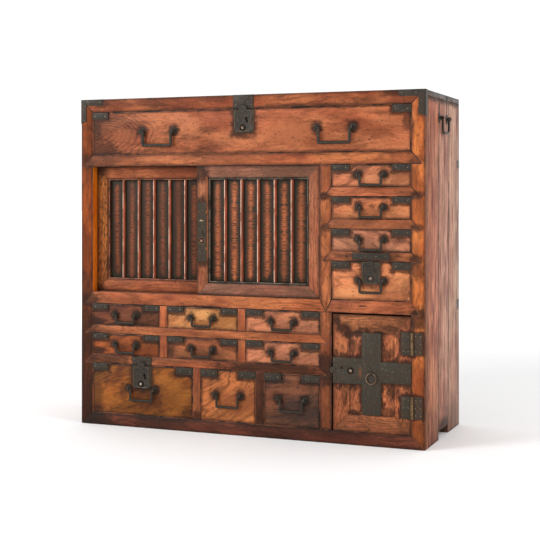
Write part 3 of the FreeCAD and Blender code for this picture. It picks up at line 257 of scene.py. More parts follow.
def placed(tree, vector, centre, turn=(0.0, 0.0, 0.0), scale=(1.0, 1.0, 1.0)):
    """Measures places from a centre, on turned axes and in that scale."""
    feeds = {"Vector": vector, "Location": centre, "Rotation": turn, "Scale": scale}
    return add_node(tree, "Mapping", feeds, vector_type="TEXTURE").outputs[0]


def wobble(tree, noise, size):
    """Turns a noise into one about zero, of that size."""
    return calc(tree, "MULTIPLY", calc(tree, "SUBTRACT", noise, 0.5), size)


def patch(tree, flat, ragged, centre, radii, strength, square=False):
    """How strong a soft-edged patch is: a round stain or glow, or a square one like the plate that made it
    or a band of painted shade.
    """
    edge = (1.15, 0.8) if square else (1.3, 0.5)
    centred = placed(tree, flat, (*centre, 0.0), scale=(*radii, 1.0))
    if square:
        sides = add_node(tree, "VectorMath", {0: centred}, operation="ABSOLUTE").outputs[0]
        parts = add_node(tree, "SeparateXYZ", {0: sides}).outputs
        reach = calc(tree, "MAXIMUM", parts[0], parts[1])
    else:
        reach = add_node(tree, "VectorMath", {0: centred}, operation="LENGTH").outputs["Value"]
    return fade(tree, calc(tree, "ADD", reach, ragged), *edge, 0.0, strength)


def strongest(tree, shares):
    total = shares[0]
    for share in shares[1:]:
        total = calc(tree, "MAXIMUM", total, share)
    return total


def wood(name, run, low, high, tones, heart=(0.0, 0.0, 0.06), lean=(0.0, 0.0), ring=0.0075, face="xz",
         marks=(), plates=(), glows=(), burl=None, rim=0.7, crackle=0.0, specks=0.7, clouds=0.6, lines=0.35,
         streaky=0.35, gloss=0.42, sway=1.0):
    """Lacquered keyaki in three tones: light, middle and dark. run names the axes along, across and through
    the board, heart is the tree's centre from the board's own, and lean turns it, which makes the arched
    figure. Marks are round stains; plates are square ones, the stains that iron leaves and, on the drawer
    fronts, thin bands of painted shade in the gaps; and glows are lighter places, all on the plane that
    face names. A burl is a swirl of rings, as its centre, the spacing of its rings and how many there are.
    Sway is how far the grain wanders."""
    made, tree, shader = start_finish(name, 0.13)
    light, mid, dark = (paint(tone) for tone in tones.split())
    place = add_node(tree, "TexCoord").outputs["Object"]
    at = dict(zip("xyz", add_node(tree, "SeparateXYZ", {0: place}).outputs))
    grain = add_node(tree, "CombineXYZ", {i: at[axis] for i, axis in enumerate(run)}).outputs[0]
    flat = add_node(tree, "CombineXYZ", {i: at[axis] for i, axis in enumerate(face)}).outputs[0]
    middle = dict(zip("xyz", ((a + b) / 2 for a, b in zip(low, high))))
    half = dict(zip("xyz", ((b - a) / 2 for a, b in zip(low, high))))
    centre = [middle[axis] + shift for axis, shift in zip(run, heart)]
    figure = placed(tree, grain, centre, (0.0, *lean))

    feeds = {"Vector": stretched(tree, figure, (7.0, 16.0, 16.0)), "Scale": 1.0, "Detail": 2.0}
    drift = add_node(tree, "TexNoise", feeds).outputs[1]
    drift = add_node(tree, "VectorMath", {0: drift, 1: (0.5, 0.5, 0.5)}, operation="SUBTRACT").outputs[0]
    drift = stretched(tree, drift, (0.03 * sway, 0.05 * sway, 0.05 * sway))
    bent = add_node(tree, "VectorMath", {0: figure, 1: drift}, operation="ADD").outputs[0]
    feeds = {"Vector": stretched(tree, bent, (0.2, 1.0, 1.0)), "Scale": 0.314 / ring,
             "Distortion": 1.2, "Detail": 2.0, "Detail Scale": 0.7}
    rings = add_node(tree, "TexWave", feeds, wave_type="RINGS", rings_direction="X").outputs[1]
    late = fade(tree, rings, 0.6, 1.0)
    pale = grit(tree, figure, (8.0, 18.0, 18.0), 4.0, 0.6)
    warmth = grit(tree, figure, (5.0, 13.0, 14.0), 2.0)
    cloud = grit(tree, bent, (9.0, 36.0, 36.0), 4.0, 0.65)
    streaks = grit(tree, bent, (7.0, 130.0, 130.0), 3.0, 0.6)
    hairs = grit(tree, bent, (26.0, 400.0, 400.0), 2.0, 0.6)
    fibres = grit(tree, bent, (60.0, 1400.0, 1400.0), 2.0, 0.6)
    pits = grit(tree, grain, (150.0, 300.0, 300.0), 2.0, 0.6)

    tone = tint(tree, fade(tree, pale, 0.38, 0.62), mid, light)
    tone = tint(tree, fade(tree, warmth, 0.44, 0.62), tone, blush, "MULTIPLY")
    tone = tint(tree, fade(tree, cloud, 0.46, 0.76, 0.0, clouds), tone, dark)
    tone = tint(tree, fade(tree, streaks, 0.48, 0.78, 0.0, streaky), tone, dark)
    presence = fade(tree, grit(tree, figure, (9.0, 18.0, 18.0), 2.0), 0.38, 0.6, 0.04, lines)
    tone = tint(tree, calc(tree, "MULTIPLY", late, presence), tone, dark)
    if burl:
        burl_centre, spacing, count = burl
        swirl = placed(tree, flat, (*burl_centre, 0.0), scale=(*spacing, 1.0))
        swirl = add_node(tree, "VectorMath", {0: swirl, 1: stretched(tree, drift, (160.0, 160.0, 0.0))},
                         operation="ADD").outputs[0]
        turns = add_node(tree, "VectorMath", {0: swirl}, operation="LENGTH").outputs["Value"]
        reach = fade(tree, turns, count, count * 0.6, 0.0, 0.6)
        swirl_lines = fade(tree, calc(tree, "FRACT", turns), 0.5, 1.0, 0.0, reach)
        tone = tint(tree, swirl_lines, tone, dark)
    tone = tint(tree, fade(tree, hairs, 0.5, 0.74, 0.0, 0.42), tone, dark)
    tone = tint(tree, fade(tree, fibres, 0.45, 0.8, 0.0, 0.3), tone, dark)

    uneven = grit(tree, grain, (70.0, 110.0, 110.0), 4.0, 0.6)
    frayed = wobble(tree, uneven, 1.3)
    stains_and_shade = [patch(tree, flat, frayed, *mark) for mark in marks]
    stains_and_shade += [patch(tree, flat, wobble(tree, uneven, 0.9), *plate, square=True) for plate in plates]
    if glows:
        bright = strongest(tree, [patch(tree, flat, frayed, *glow) for glow in glows])
        tone = tint(tree, bright, tone, light)
    if stains_and_shade and run[2] == "y":
        skin = fade(tree, calc(tree, "SUBTRACT", at["y"], low[1]), 0.0035, 0.005, 1.0, 0.0)
        stains_and_shade = [calc(tree, "MULTIPLY", strongest(tree, stains_and_shade), skin)]
    # Stains, and the bands of painted shade among the plates, darken towards a smoky iron brown.
    if stains_and_shade:
        stain_and_shade_tone = tint(tree, 0.38, tint(tree, 1.0, tone, smoke, "MULTIPLY"), paint(iron_stain))
        tone = tint(tree, strongest(tree, stains_and_shade), tone, stain_and_shade_tone)
    soot_and_edge_shade = [fade(tree, pits, 0.62, 0.7, 0.0, specks)]
    if crackle:
        soot_and_edge_shade.append(fade(tree, grit(tree, grain, (90.0, 360.0, 360.0), 3.0, 0.7), 0.5, 0.58, 0.0, crackle))
    # The rim darkens the face within about 8 mm of its edges: grime, and painted shade that stands in for
    # the dark gaps between parts.
    if rim:
        gaps = []
        for axis in face:
            off = calc(tree, "ABSOLUTE", calc(tree, "SUBTRACT", at[axis], middle[axis]))
            gaps.append(calc(tree, "SUBTRACT", half[axis], off))
        wavy = calc(tree, "ADD", calc(tree, "MINIMUM", *gaps), calc(tree, "MULTIPLY", frayed, 0.006))
        soot_and_edge_shade.append(fade(tree, wavy, 0.008, 0.0005, 0.0, rim))
    grime_and_edge_shade = strongest(tree, soot_and_edge_shade)
    tone = tint(tree, grime_and_edge_shade, tone, paint(soot_and_shade))

    dull = calc(tree, "ADD", fade(tree, streaks, 0.3, 0.7, gloss, gloss + 0.15),
                calc(tree, "MULTIPLY", grime_and_edge_shade, 0.15))
    height = calc(tree, "SUBTRACT", calc(tree, "MULTIPLY", hairs, -1.0), calc(tree, "MULTIPLY", late, 0.3))
    height = calc(tree, "SUBTRACT", height, calc(tree, "MULTIPLY", fade(tree, pits, 0.62, 0.7), 1.2))
    join_up(tree, shader, tone, dull, height, 0.35, 0.0008)
    return made


def wear_and_sheen_wood(name, bare, dirty):
    """A mottled mix of a bare tone and a dirty tone, as where hands wore the lacquer through in places and
    dirt stayed in others. On the bevels and facets that take it, the bare tone is also a painted highlight
    and the dirty tone painted shade along the gaps.
    """
    made, tree, shader = start_finish(name, 0.3)
    place = add_node(tree, "TexCoord").outputs["Object"]
    worn = grit(tree, place, (28.0, 60.0, 28.0), 4.0, 0.65)
    tone = tint(tree, fade(tree, worn, 0.42, 0.56), paint(dirty), paint(bare))
    chips = grit(tree, place, (240.0, 240.0, 240.0), 3.0)
    join_up(tree, shader, tone, fade(tree, worn, 0.3, 0.7, 0.5, 0.35), chips, 0.4, 0.0008)
    return made


side_edge = wear_and_sheen_wood("side_edge_wood", "96725e", "3e281e")
side_cracks = stains(
    (-34, 757, 3.6, 40, 1.0), (36, 760, 3.6, 40, 1.0), (20, 520, 1.5, 100, 0.8),
    (-20, 300, 1.5, 120, 0.7))
side_tones = ("bf7c5a 92553e 3c1e16", "c4927a 986854 48291f", "c89e86 a07662 4e352b")
for side in ("left", "right"):
    low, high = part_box(f"{side}_side_boards")
    ends = (low.y, *side_seams, high.y)
    for i in range(3):
        foot = low.z + (side_foot_rise if i == 1 else 0.0)
        box_low, box_high = (low.x, ends[i], low.z), (high.x, ends[i + 1], high.z)
        piece = board(f"{side}_side_board_{i + 1}", (low.x, ends[i], foot), box_high)
        marks = [((end, 0.35), (0.003, 0.5), 0.6) for end in ends[i:i + 2]]
        if i == 1:
            marks += side_cracks + stains((0, 21, 60, 30, 1.0))
        middle = (ends[i] + ends[i + 1]) / 2
        marks += [((middle, high.z), (0.12, 0.014), 0.95), ((middle, 0.0), (0.12, 0.080), 0.4)]
        if i == 2:
            marks.append(((high.y, 0.4), (0.045, 0.8), 0.28))
        chip = [((low.y, 0.565), (0.005, 0.030), 1.0)] if i == 0 and side == "right" else ()
        finish = wood(f"{side}_side_wood_{i + 1}", "zyx", box_low, box_high, side_tones[i], face="yz",
                      marks=marks, heart=(0.1 * i, 0.02 * i, 0.08), lean=(0.03, 0.01 * (i - 1)), gloss=0.5,
                      ring=0.010, lines=0.5, streaky=0.95, clouds=0.7, glows=chip, sway=0.3)
        fit(piece, "case", finish, [f"{side}_side_boards"] if i == 0 else (), side_edge)


# ------------------------------------------------------------
# Top, bottom and back
# The top is two wide keyaki boards nailed down on the sides. The bottom and the back are plain softwood,
# sawn and left bare, and the back boards are held by two battens whose ends show at the sides.

top_seam_y = 0.021
softwood_tones = "9a7858 7c5c42 412c20"
back_board_thickness = 0.010
side_thickness = 0.018
batten_play = 0.0004
batten_spans = ((0.281, 0.306), (0.621, 0.641))
back_boards_between = ((0.0178, 0.281), (0.306, 0.4635), (0.4635, 0.621), (0.641, 0.779))

top_edge = wear_and_sheen_wood("top_edge_wood", "6a4434", "2c1a12")
sooty_end = wear_and_sheen_wood("sooty_end_wood", "3c2a22", "1c1410")


def darken_ends(piece):
    """Gives the ends of a board, where the open grain has taken up soot, their own finish."""
    give(piece, sooty_end, lambda side_face: abs(side_face.normal.x) > 0.5)


low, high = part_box("top_boards")
for i, (front, rear) in enumerate(((low.y, top_seam_y), (top_seam_y, high.y))):
    span = (low.x, front, low.z), (high.x, rear, high.z)
    finish = wood(f"top_wood_{i + 1}", "xyz", *span, faded, face="xy", heart=(0.1, 0.0, -0.09),
                  lean=(0.05, 0.0), ring=0.010, gloss=0.5)
    piece = fit(board(f"top_board_{i + 1}", *span), "case", finish,
                ["top_boards"] if i == 0 else (), top_edge)
    darken_ends(piece)

low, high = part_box("back_boards")
for i, (foot, top) in enumerate(back_boards_between):
    inner_face = low.y + back_board_thickness
    span = (low.x + side_thickness, low.y, foot), (high.x - side_thickness, inner_face, top)
    finish = wood(f"back_wood_{i + 1}", "xzy", *span, softwood_tones, heart=(0.2 * i, 0.09, 0.05),
                  lean=(0.004, 0.004), ring=0.005, clouds=0.25, lines=0.6, gloss=0.7, sway=0.4)
    fit(board(f"back_board_{i + 1}", *span), "case", finish, ["back_boards"] if i == 0 else ())
for i, (foot, top) in enumerate(batten_spans):
    span = (low.x - batten_play, low.y, foot), (high.x + batten_play, high.y + batten_play, top)
    finish = wood(f"batten_wood_{i + 1}", "xzy", *span, softwood_tones, heart=(0.3, 0.01, 0.05), gloss=0.7)
    darken_ends(fit(board(f"back_batten_{i + 1}", *span), "case", finish))

case_span = tuple(cad_low), tuple(cad_high)
bare_softwood = wood("bare_softwood", "yxz", *case_span, softwood_tones, rim=0.0, gloss=0.7, specks=0.4)
for name in ("bottom_boards", "partitions", "shelves", "drawer_guides"):
    frame["nodes"][name].data.materials.clear()
    frame["nodes"][name].data.materials.append(bare_softwood)


# ------------------------------------------------------------
# Front frame
# Stiles and rails of solid keyaki, mortised together with mitred shoulders that run into each stile.
# The lacquer is orange where hands polished it and nearly black along the foot.

orange = "bc6e42 904e2e 33190e"
vivid = "d87c3e aa5828 3a1b0c"
reddish = "a65e38 7c3e24 2a140a"
russet = "a24e16 72320c 271006"
red_brown = "b66c44 8a4e30 2e180e"
sooty_red = "6e3a28 4a271b 1a0d09"
mortise_mouth = 0.0115
slim_member = 0.04


def worn_copy(node, name, arris=0.0011, rounds=2, least=0.0):
    """A copy of a node's solids with the triangles merged and the outer edges worn round. Edges shorter
    than the least length stay sharp, because they are inside a mortise."""
    piece = frame["nodes"][node].copy()
    piece.data = piece.data.copy()
    piece.name = name
    piece.parent = None
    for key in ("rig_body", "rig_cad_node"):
        del piece[key]
    bpy.context.scene.collection.objects.link(piece)
    work_on(piece)
    edit("SELECT")
    bpy.ops.mesh.remove_doubles(threshold=0.00002)
    bpy.ops.mesh.dissolve_limited(angle_limit=math.radians(2))
    bpy.ops.mesh.normals_make_consistent(inside=False)
    bpy.ops.mesh.select_mode(type="EDGE")
    bpy.ops.mesh.select_all(action="DESELECT")
    shape = bmesh.from_edit_mesh(piece.data)
    for edge in shape.edges:
        outer = edge.is_manifold and edge.is_convex and edge.calc_face_angle() > math.radians(35)
        edge.select = outer and edge.calc_length() > least
    bpy.ops.mesh.bevel(offset=arris, segments=rounds, affect="EDGES", clamp_overlap=True)
    leave_edit()
    return settle(piece)


# The drawer fronts and the frame take this two-tone finish on their bevelled edges: wear, and also a
# painted highlight on the arrises and painted shade along the gaps.
front_edge = wear_and_sheen_wood("front_edge_wood", "8c4e2c", "23130c")
frame_edge = wear_and_sheen_wood("frame_edge_wood", "643822", "1e110a")
left_tips = [((-0.410, z), (0.036, 0.024), strength)
             for z, strength in ((0.302, 0.92), (0.230, 0.92), (0.158, 0.95))]
rail_tips = stains(
    (415, 637, 16, 10, 0.6), (413, 556, 18, 12, 0.9), (411, 486, 17, 11, 0.85),
    (408, 415, 20, 13, 0.95), (416, 296, 22, 18, 1.0), (199, 555, 18, 10, 0.95),
    (199, 484, 14, 10, 0.7), (202, 415, 14, 10, 0.6), (197, 640, 10, 8, 0.5), (197, 311, 10, 12, 0.5))
hinge_burns = stains((415.5, 231.5, 19, 31, 0.95), (415.5, 91.5, 19, 31, 0.95))
frame_members = {
    "left_stile": ("zxy", russet, 0.3, left_tips + stains(
        (-415, 640, 18, 20, 0.75), (-417, 130, 60, 210, 0.95), (-417, 40, 40, 110, 1.0),
        (-420, 720, 20, 12, 0.5), (-417, 325, 26, 50, 0.75), (-417, 680, 26, 60, 0.3))),
    "right_stile": ("zxy", vivid, 0.4, rail_tips + stains(
        (408, 600, 8, 40, 0.35), (420, 530, 10, 50, 0.3), (423, 51, 10, 14, 0.7), (420, 6, 30, 16, 0.7),
        (423, 740, 14, 12, 0.8), (402, 700, 6, 30, 0.5), (414, 392, 20, 24, 0.7),
        (412, 282, 26, 24, 0.95), (416, 150, 22, 56, 0.45), (414, 35, 24, 40, 0.6))),
    "centre_stile": ("zxy", orange, 0.4, rail_tips + stains(
        (200, 164, 30, 50, 1.0), (200, 150, 30, 170, 0.45))),
    "top_rail": ("xzy", reddish, 0.6, stains(
        (-376, 779, 30, 12, 0.85), (-239, 774, 51, 9, 0.35), (-72, 781, 42, 7, 0.4),
        (360, 783, 30, 10, 0.8), (150, 762, 100, 4, 0.45), (-325, 775, 50, 14, 0.4))),
    "long_rail": ("xzy", orange, 0.4, stains(
        (-304, 647, 35, 6, 0.35), (411, 638, 20, 12, 0.7), (-416, 636, 32, 20, 0.85),
        (-370, 638, 50, 20, 0.6))),
    "bottom_rail": ("xzy", sooty_red, 0.7, stains(
        (-400, 15, 60, 30, 0.95), (-250, 26, 120, 8, 0.5), (200, 24, 60, 10, 0.3))),
    "left_rails": ("xzy", orange, 0.4, stains(
        (-263, 164, 36, 10, 0.9), (-171, 163, 27, 6, 0.4), (80, 160, 160, 24, 1.0),
        (-105, 295, 60, 4, 1.0), (-300, 171, 60, 3, 0.8), (-311, 322, 21, 2, 0.6),
        (-360, 160, 72, 22, 0.85), (-370, 230, 50, 16, 0.35), (-376, 302, 30, 18, 0.3),
        (-200, 160, 80, 18, 0.3)) + left_tips),
    "right_rails": ("xzy", red_brown, 0.5, rail_tips + stains(
        (307, 418, 66, 20, 0.95), (288, 310.5, 12, 2.2, 0.9))),
    "dividers": ("zxy", orange, 0.4, stains(
        (-119, 36, 14, 24, 0.95), (-119, 100, 16, 100, 0.5), (-165, 266, 12, 30, 0.25),
        (30, 200, 12, 30, 0.25), (40, 90, 22, 110, 1.0))),
}
# The inner face of the left stile, beside the left sliding door, is painted a vivid light orange: a painted
# glow of light bounced off the door, not the wood's own colour.
reveal_glow = wood("left_reveal_wood", "zxy", *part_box("left_stile"), "d9781c c05f08 7a3305", rim=0.0,
                    lines=0.2, clouds=0.3, specks=0.3)
for i, (node, (run, tones, specks, marks)) in enumerate(frame_members.items()):
    low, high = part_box(node)
    lone = high.x - low.x < slim_member or high.z - low.z < slim_member
    finish = wood(f"{node}_wood", run, low, high, tones, heart=(0.13 * i, 0.03, 0.05), lean=(0.02, 0.01),
                  marks=marks, plates=hinge_burns if node == "right_stile" else (),
                  rim=0.6 if lone else 0.0, specks=specks + 0.3)
    piece = worn_copy(node, f"{node}_worn", least=mortise_mouth)
    fit(piece, "case", finish, [node], frame_edge)
    # Its inner face takes the painted glow.
    if node == "left_stile":
        give(piece, reveal_glow, lambda side_face: side_face.normal.x > 0.95)


# ------------------------------------------------------------
# Iron on the case
# Hand-forged plates, blackened and oiled: corner irons that wrap on to the sides, strikes for the locks,
# pins for the side handles and the fixed leaves of the hinges. Clenched nails with small domed heads.

nail_radius = 0.0016
nail_flatness = 0.55
frame_front = -0.163
case_iron_depth = 0.0018
filed_arris = 0.0003
smallest_edge_facet = 0.000004
hinge_feet = (0.067, 0.207)


def forged(name, tone="38362c", rust="3e3226", lift=0.5, metallic=0.3, bare=()):
    """Blackened iron: dull and olive, hammered, brown where it has rusted. In the bare places, as (centre,
    radii, strength) on the front, it has rusted right through to orange."""
    made, tree, shader = start_finish(name, 0.25)
    place = add_node(tree, "TexCoord").outputs["Object"]
    cloud = grit(tree, place, (60.0, 60.0, 60.0), 4.0, 0.6)
    fine = grit(tree, place, (500.0, 500.0, 500.0), 3.0, 0.6)
    hammer = grit(tree, place, (150.0, 150.0, 150.0), 1.0)
    tone_now = tint(tree, fade(tree, cloud, 0.35, 0.65), paint(tone), paint(rust))
    tone_now = tint(tree, fade(tree, fine, 0.35, 0.7, 0.0, 0.7), tone_now, paint("1a1814"))
    pale_spots = grit(tree, place, (260.0, 260.0, 260.0), 3.0, 0.7)
    tone_now = tint(tree, fade(tree, pale_spots, 0.58, 0.7, 0.0, 0.35), tone_now, paint("77705c"))
    if bare:
        at = add_node(tree, "SeparateXYZ", {0: place}).outputs
        flat = add_node(tree, "CombineXYZ", {0: at[0], 1: at[2]}).outputs[0]
        orange_rust = strongest(tree, [patch(tree, flat, wobble(tree, cloud, 2.2), *spot) for spot in bare])
        tone_now = tint(tree, orange_rust, tone_now, paint("7c4728"))
    dull = fade(tree, fine, 0.3, 0.7, lift - 0.08, lift + 0.12)
    height = calc(tree, "ADD", hammer, calc(tree, "MULTIPLY", fine, 0.35))
    join_up(tree, shader, tone_now, dull, height, 0.5, 0.0009)
    shader.inputs["Metallic"].default_value = metallic
    return made


black_iron = forged("black_iron", "302a24", "3c3026", metallic=0.15)
rusty_iron = forged("rusty_iron", "43352b", "523c2e", metallic=0.15)
# A lighter iron for the filed edges of plates, the eye pins and some nails: worn metal, and partly a
# painted highlight along the edges.
rubbed_iron = forged("rubbed_iron", "5a5244", "483c2f", lift=0.42)
# Nail heads and the lock's staple are lighter than the iron: brassy metal, and partly a painted highlight
# of the light they catch.
bright_nail = forged("bright_nail", "94805c", "66523a", lift=0.3, metallic=0.5)
worn_brass = forged("worn_brass", "8c6c46", "54402c", lift=0.4, metallic=0.5)
slim_iron = forged("slim_iron", "342e24", "423426")


def nail_heads(name, places):
    """Domed nail heads at each place on a front: small spheres hammered flat."""
    made = []
    for place in places:
        deselect()
        bpy.ops.mesh.primitive_uv_sphere_add(segments=8, ring_count=6, radius=nail_radius, location=place)
        head = bpy.context.object
        head.scale = (1.0, nail_flatness, 1.0)
        made.append(settle(head))
    return together(name, made)


knuckle_x = 0.4016
knuckle_half_width = 0.0030
knuckle_front = -0.1662


def rub_knuckles(piece):
    """Gives the knuckles of the hinges, which rub against each other, their yellowed finish."""
    give(piece, worn_brass, lambda side_face: side_face.center.y < knuckle_front
         and abs(side_face.center.x - knuckle_x) < knuckle_half_width)


def forged_copy(node, body, iron):
    """A node's solids with their edges filed round, in iron that is lighter along them: wear, and a painted
    highlight.
    """
    piece = worn_copy(node, f"{node}_forged", filed_arris)
    return fit(piece, body, iron, [node], rubbed_iron, smallest_edge_facet)


forged_copy("case_irons", "case", black_iron)
rub_knuckles(forged_copy("case_hinge_leaves", "case", rusty_iron))
case_nail_y = frame_front - case_iron_depth
leaf_rows = [foot + rise for foot in hinge_feet for rise in (0.008, 0.0245, 0.041)]
corner_nails = ((0.378, 0.7815), (0.410, 0.7815), (0.4225, 0.7400), (0.4225, 0.7650))
strike_nails = [(0.0, 0.0195, z) for z in (0.781, 0.765)] + [(-0.2642, 0.0195, z) for z in (0.164, 0.156)]
strike_nails += [(0.3068, aside, 0.4215) for aside in (0.012, 0.034)]
case_nails = [(x, case_nail_y, z) for x in (0.4095, 0.4200) for z in leaf_rows]
for side in (-1, 1):
    case_nails += [(side * x, case_nail_y, z) for x, z in corner_nails]
    case_nails += [(centre + side * aside, case_nail_y, z) for centre, aside, z in strike_nails]
fit(nail_heads("case_nails", case_nails), "case", bright_nail)


# ------------------------------------------------------------
# Drawers
# Each has a solid keyaki front and a thin paulownia box, nailed. Iron straps hold the top corners, and
# each bail hangs on two eye pins that go in through roses. Three drawers have an iron lock case with a
# keyhole and a push button.

drawer_front_thickness = 0.015
drawer_wall = 0.008
drawer_floor = 0.005
drawer_wall_drop = 0.005
thin_arris = 0.0005
strap_length = 0.042
strap_thickness = 0.0016
tall_strap, low_strap = 0.0165, 0.013
strap_fold_width, strap_fold_rise, strap_fold_arris = 0.0025, 0.0009, 0.0007
strap_nail_shares = (0.18, 0.8)
strap_nail_drop = 0.55
wide_rose, small_rose = 0.0085, 0.0072
rose_depth = 0.0012
rose_halo = 2.0
pin_shank = 0.014
eye_radius = 0.0040
eye_wire = 0.0012
face_y = -0.162
pale_box = "bc9870 9e7854 5c3e28"
golden = "ca8e56 a26638 3e2211"
brown = "7c4830 54301e 1e110b"
grey_brown = "bc7c5a 905c44 38231a"
black_brown = "784a32 443028 1c1512"
bright_orange = "cc8052 a05e3a 3a1f12"
olive_gold = "9a5c24 5c3016 1e1008"
drawer_looks = {
    "wide_drawer": dict(
        tones="b46a44 8a4a2c 32180f", lean=(0.03, 0.0), heart=(0.1, 0.02, 0.05), lines=0.12,
        streaky=0.25, clouds=0.6, burl=((-0.412, 0.700), (0.0150, 0.0060), 16),
        marks=stains(
            (-380, 664, 66, 34, 0.9), (-360, 695, 110, 70, 0.35), (-398, 700, 32, 64, 0.85),
            (-365, 738, 44, 12, 0.55), (-345, 664, 50, 8, 0.45), (-332, 715, 21, 8, 0.4),
            (-262, 663, 45, 5, 0.5), (-95, 710, 30, 8, 0.45), (-138, 693, 30, 8, 0.5),
            (-82, 666, 32, 9, 0.5), (3, 691, 22, 6, 0.5), (389, 722, 12, 26, 0.7),
            (330, 740, 36, 5, 0.5)),
        glows=stains((-205, 743, 67, 10, 0.4), (110, 700, 80, 26, 0.45), (-318, 700, 30, 20, 0.4))),
    "right_drawer_1": dict(tones="c67e56 9a5c3c 341d12", lean=(0.05, 0.5), lines=0.5,
                           marks=stains((388, 612, 20, 10, 0.8)), glows=stains((315, 592, 40, 12, 0.8))),
    "right_drawer_2": dict(tones=bright_orange, lean=(0.04, -0.1), marks=stains((309, 532, 8, 6, 0.55))),
    "right_drawer_3": dict(
        tones=grey_brown, lean=(0.04, -0.45), marks=stains((370, 460, 28, 10, 0.5)),
        glows=stains((270, 456, 12, 9, 0.5), (331, 449, 14, 7, 0.5))),
    "right_drawer_4": dict(tones="d88c5a ac6640 472413", lean=(0.05, 0.05), clouds=0.5,
                           marks=stains((307, 362, 34, 14, 0.5), (386, 350, 12, 30, 0.4)),
                           glows=stains((270, 340, 50, 12, 0.8))),
    "small_drawer_1": dict(tones=brown, lean=(0.04, 0.2), marks=stains(
        (-385, 252, 28, 10, 0.9), (-300, 248, 50, 5, 0.7)),
                           glows=stains((-305, 262, 30, 12, 0.6))),
    "small_drawer_2": dict(tones=golden, lean=(0.06, 0.6), glows=stains((-108, 276, 46, 12, 0.8))),
    "small_drawer_3": dict(tones="ca845c a06246 3c2216", lean=(0.05, 0.3), marks=stains(
        (159, 287, 20, 9, 0.5))),
    "small_drawer_4": dict(tones="a25a2c 783c1d 2a140a", lean=(0.04, 0.4), marks=stains(
        (-384, 180, 28, 10, 0.95), (-322, 192, 18, 9, 0.6))),
    "small_drawer_5": dict(tones="a8643e 74442c 24140d", lean=(0.04, -0.2), marks=stains(
        (-192, 195, 20, 40, 0.7), (-30, 207, 30, 14, 0.6))),
    "small_drawer_6": dict(tones="cc865e a26448 3c2216", lean=(0.06, 0.4)),
    "bottom_drawer_1": dict(
        tones=olive_gold, lean=(0.06, 0.3), marks=stains(
            (-315, 85, 14, 24, 0.6), (-372, 121, 22, 24, 0.5), (-388, 90, 20, 60, 0.6),
            (-140, 45, 20, 14, 0.3)),
        glows=stains(
            (-175, 80, 40, 45, 0.4), (-385, 75, 30, 22, 0.5), (-345, 62, 30, 14, 0.5),
            (-210, 118, 26, 14, 0.6))),
    "bottom_drawer_2": dict(tones="c67a44 92522e 361c0e", lean=(0.06, 0.55), lines=0.5, marks=stains(
        (6, 134, 20, 12, 0.4))),
    "bottom_drawer_3": dict(tones=black_brown, lean=(0.05, 0.2), glows=stains(
        (127, 143, 28, 8, 0.9), (118, 112, 38, 8, 0.8))),
}
tall_straps = ("wide_drawer", "right_drawer_4", "bottom_drawer_1", "bottom_drawer_2", "bottom_drawer_3")
hinge_places = {j["name"]: j["pos_m"] for j in frame["joints"] if j["type"] == "hinge"}
eye_reach = 0.0042
drawer_top_gap = 0.0008


def rod(radius, front, rear, x, z, sides):
    """A cylinder along Y, whose place isn't applied yet."""
    deselect()
    bpy.ops.mesh.primitive_cylinder_add(vertices=sides, radius=radius, depth=rear - front,
                                        location=(x, (front + rear) / 2, z), rotation=(math.pi / 2, 0, 0))
    return bpy.context.object


def disc(name, centre, radius, depth, sides=16):
    """A flat forged washer on a front face, with its rim hammered thin."""
    piece = rod(radius, centre[1] - depth, centre[1], centre[0], centre[2], sides)
    piece.name = name
    apply_place()
    edit("SELECT")
    bpy.ops.mesh.bevel(offset=min(depth * 0.4, 0.0007), segments=1, affect="EDGES")
    leave_edit()
    return settle(piece)


def hoop(centre, turn, radius, wire, steps, sides=8):
    """A ring of round wire, whose place isn't applied yet."""
    deselect()
    bpy.ops.mesh.primitive_torus_add(location=centre, rotation=turn, major_segments=steps,
                                     minor_segments=sides, major_radius=radius, minor_radius=wire)
    return bpy.context.object


def eye_pin(centre, depth):
    """A split pin bent round the bail: an eye on a shank that goes back through the wood."""
    eye = settle(hoop(centre, (0, math.pi / 2, 0), eye_radius, eye_wire, 16))
    start = centre[1] + eye_radius
    return [eye, settle(rod(eye_wire, start, start + depth, centre[0], centre[2], 10))]


def handle_sizes(handle):
    """Where a bail's two pins are: its hinge line, and half of their spacing."""
    low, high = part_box(handle)
    return hinge_places[f"{handle}_swing"], max(high.x - low.x, high.y - low.y) / 2 - eye_reach


lock_cases = {
    "wide_drawer": dict(kind="raised", x=0.0),
    "bottom_drawer_1": dict(kind="raised", x=-0.2642),
    "right_drawer_4": dict(kind="flat", x=0.3068),
}
lock_kinds = {
    "raised": dict(width=0.050, height=0.057, depth=0.006, slope=0.004, tab=0.010, tab_drop=0.0015,
                   button_drop=0.045, key_drop=0.0235),
    "flat": dict(width=0.042, height=0.049, depth=0.0018, slope=0.0006, tab=0.0075, tab_drop=0.005,
                 button_drop=0.038, key_drop=0.015),
}
lock_corner = 0.005
key_aside = 0.009
button_hole = 0.008
button_ring = 0.0050
case_lip, case_sink = 0.0016, 0.0005
tab_rise = 0.0006
bite = 0.0004
keyhole_radius, keyhole_slot, keyhole_drop, keyhole_lean = 0.0034, 0.0020, 0.010, 14


def cut(piece, cutters):
    """Saws or drills a piece with other pieces, one by one, and each is used up."""
    for cutter in cutters:
        work_on(piece)
        step = piece.modifiers.new("cut", "BOOLEAN")
        step.object = cutter
        step.operation = "DIFFERENCE"
        bpy.ops.object.modifier_apply(modifier=step.name)
        bpy.data.objects.remove(cutter)
    return piece


def keyhole(x, z, front, rear):
    """The teardrop of a key: a round hole with a slot that leans out below it."""
    slot = block("slot", (x - keyhole_slot, front, z - keyhole_drop), (x + keyhole_slot, rear, z))
    bpy.ops.transform.rotate(value=math.radians(keyhole_lean), orient_axis="Y",
                             center_override=(x, front, z))
    return [settle(rod(keyhole_radius, front, rear, x, z, 20)), settle(slot)]


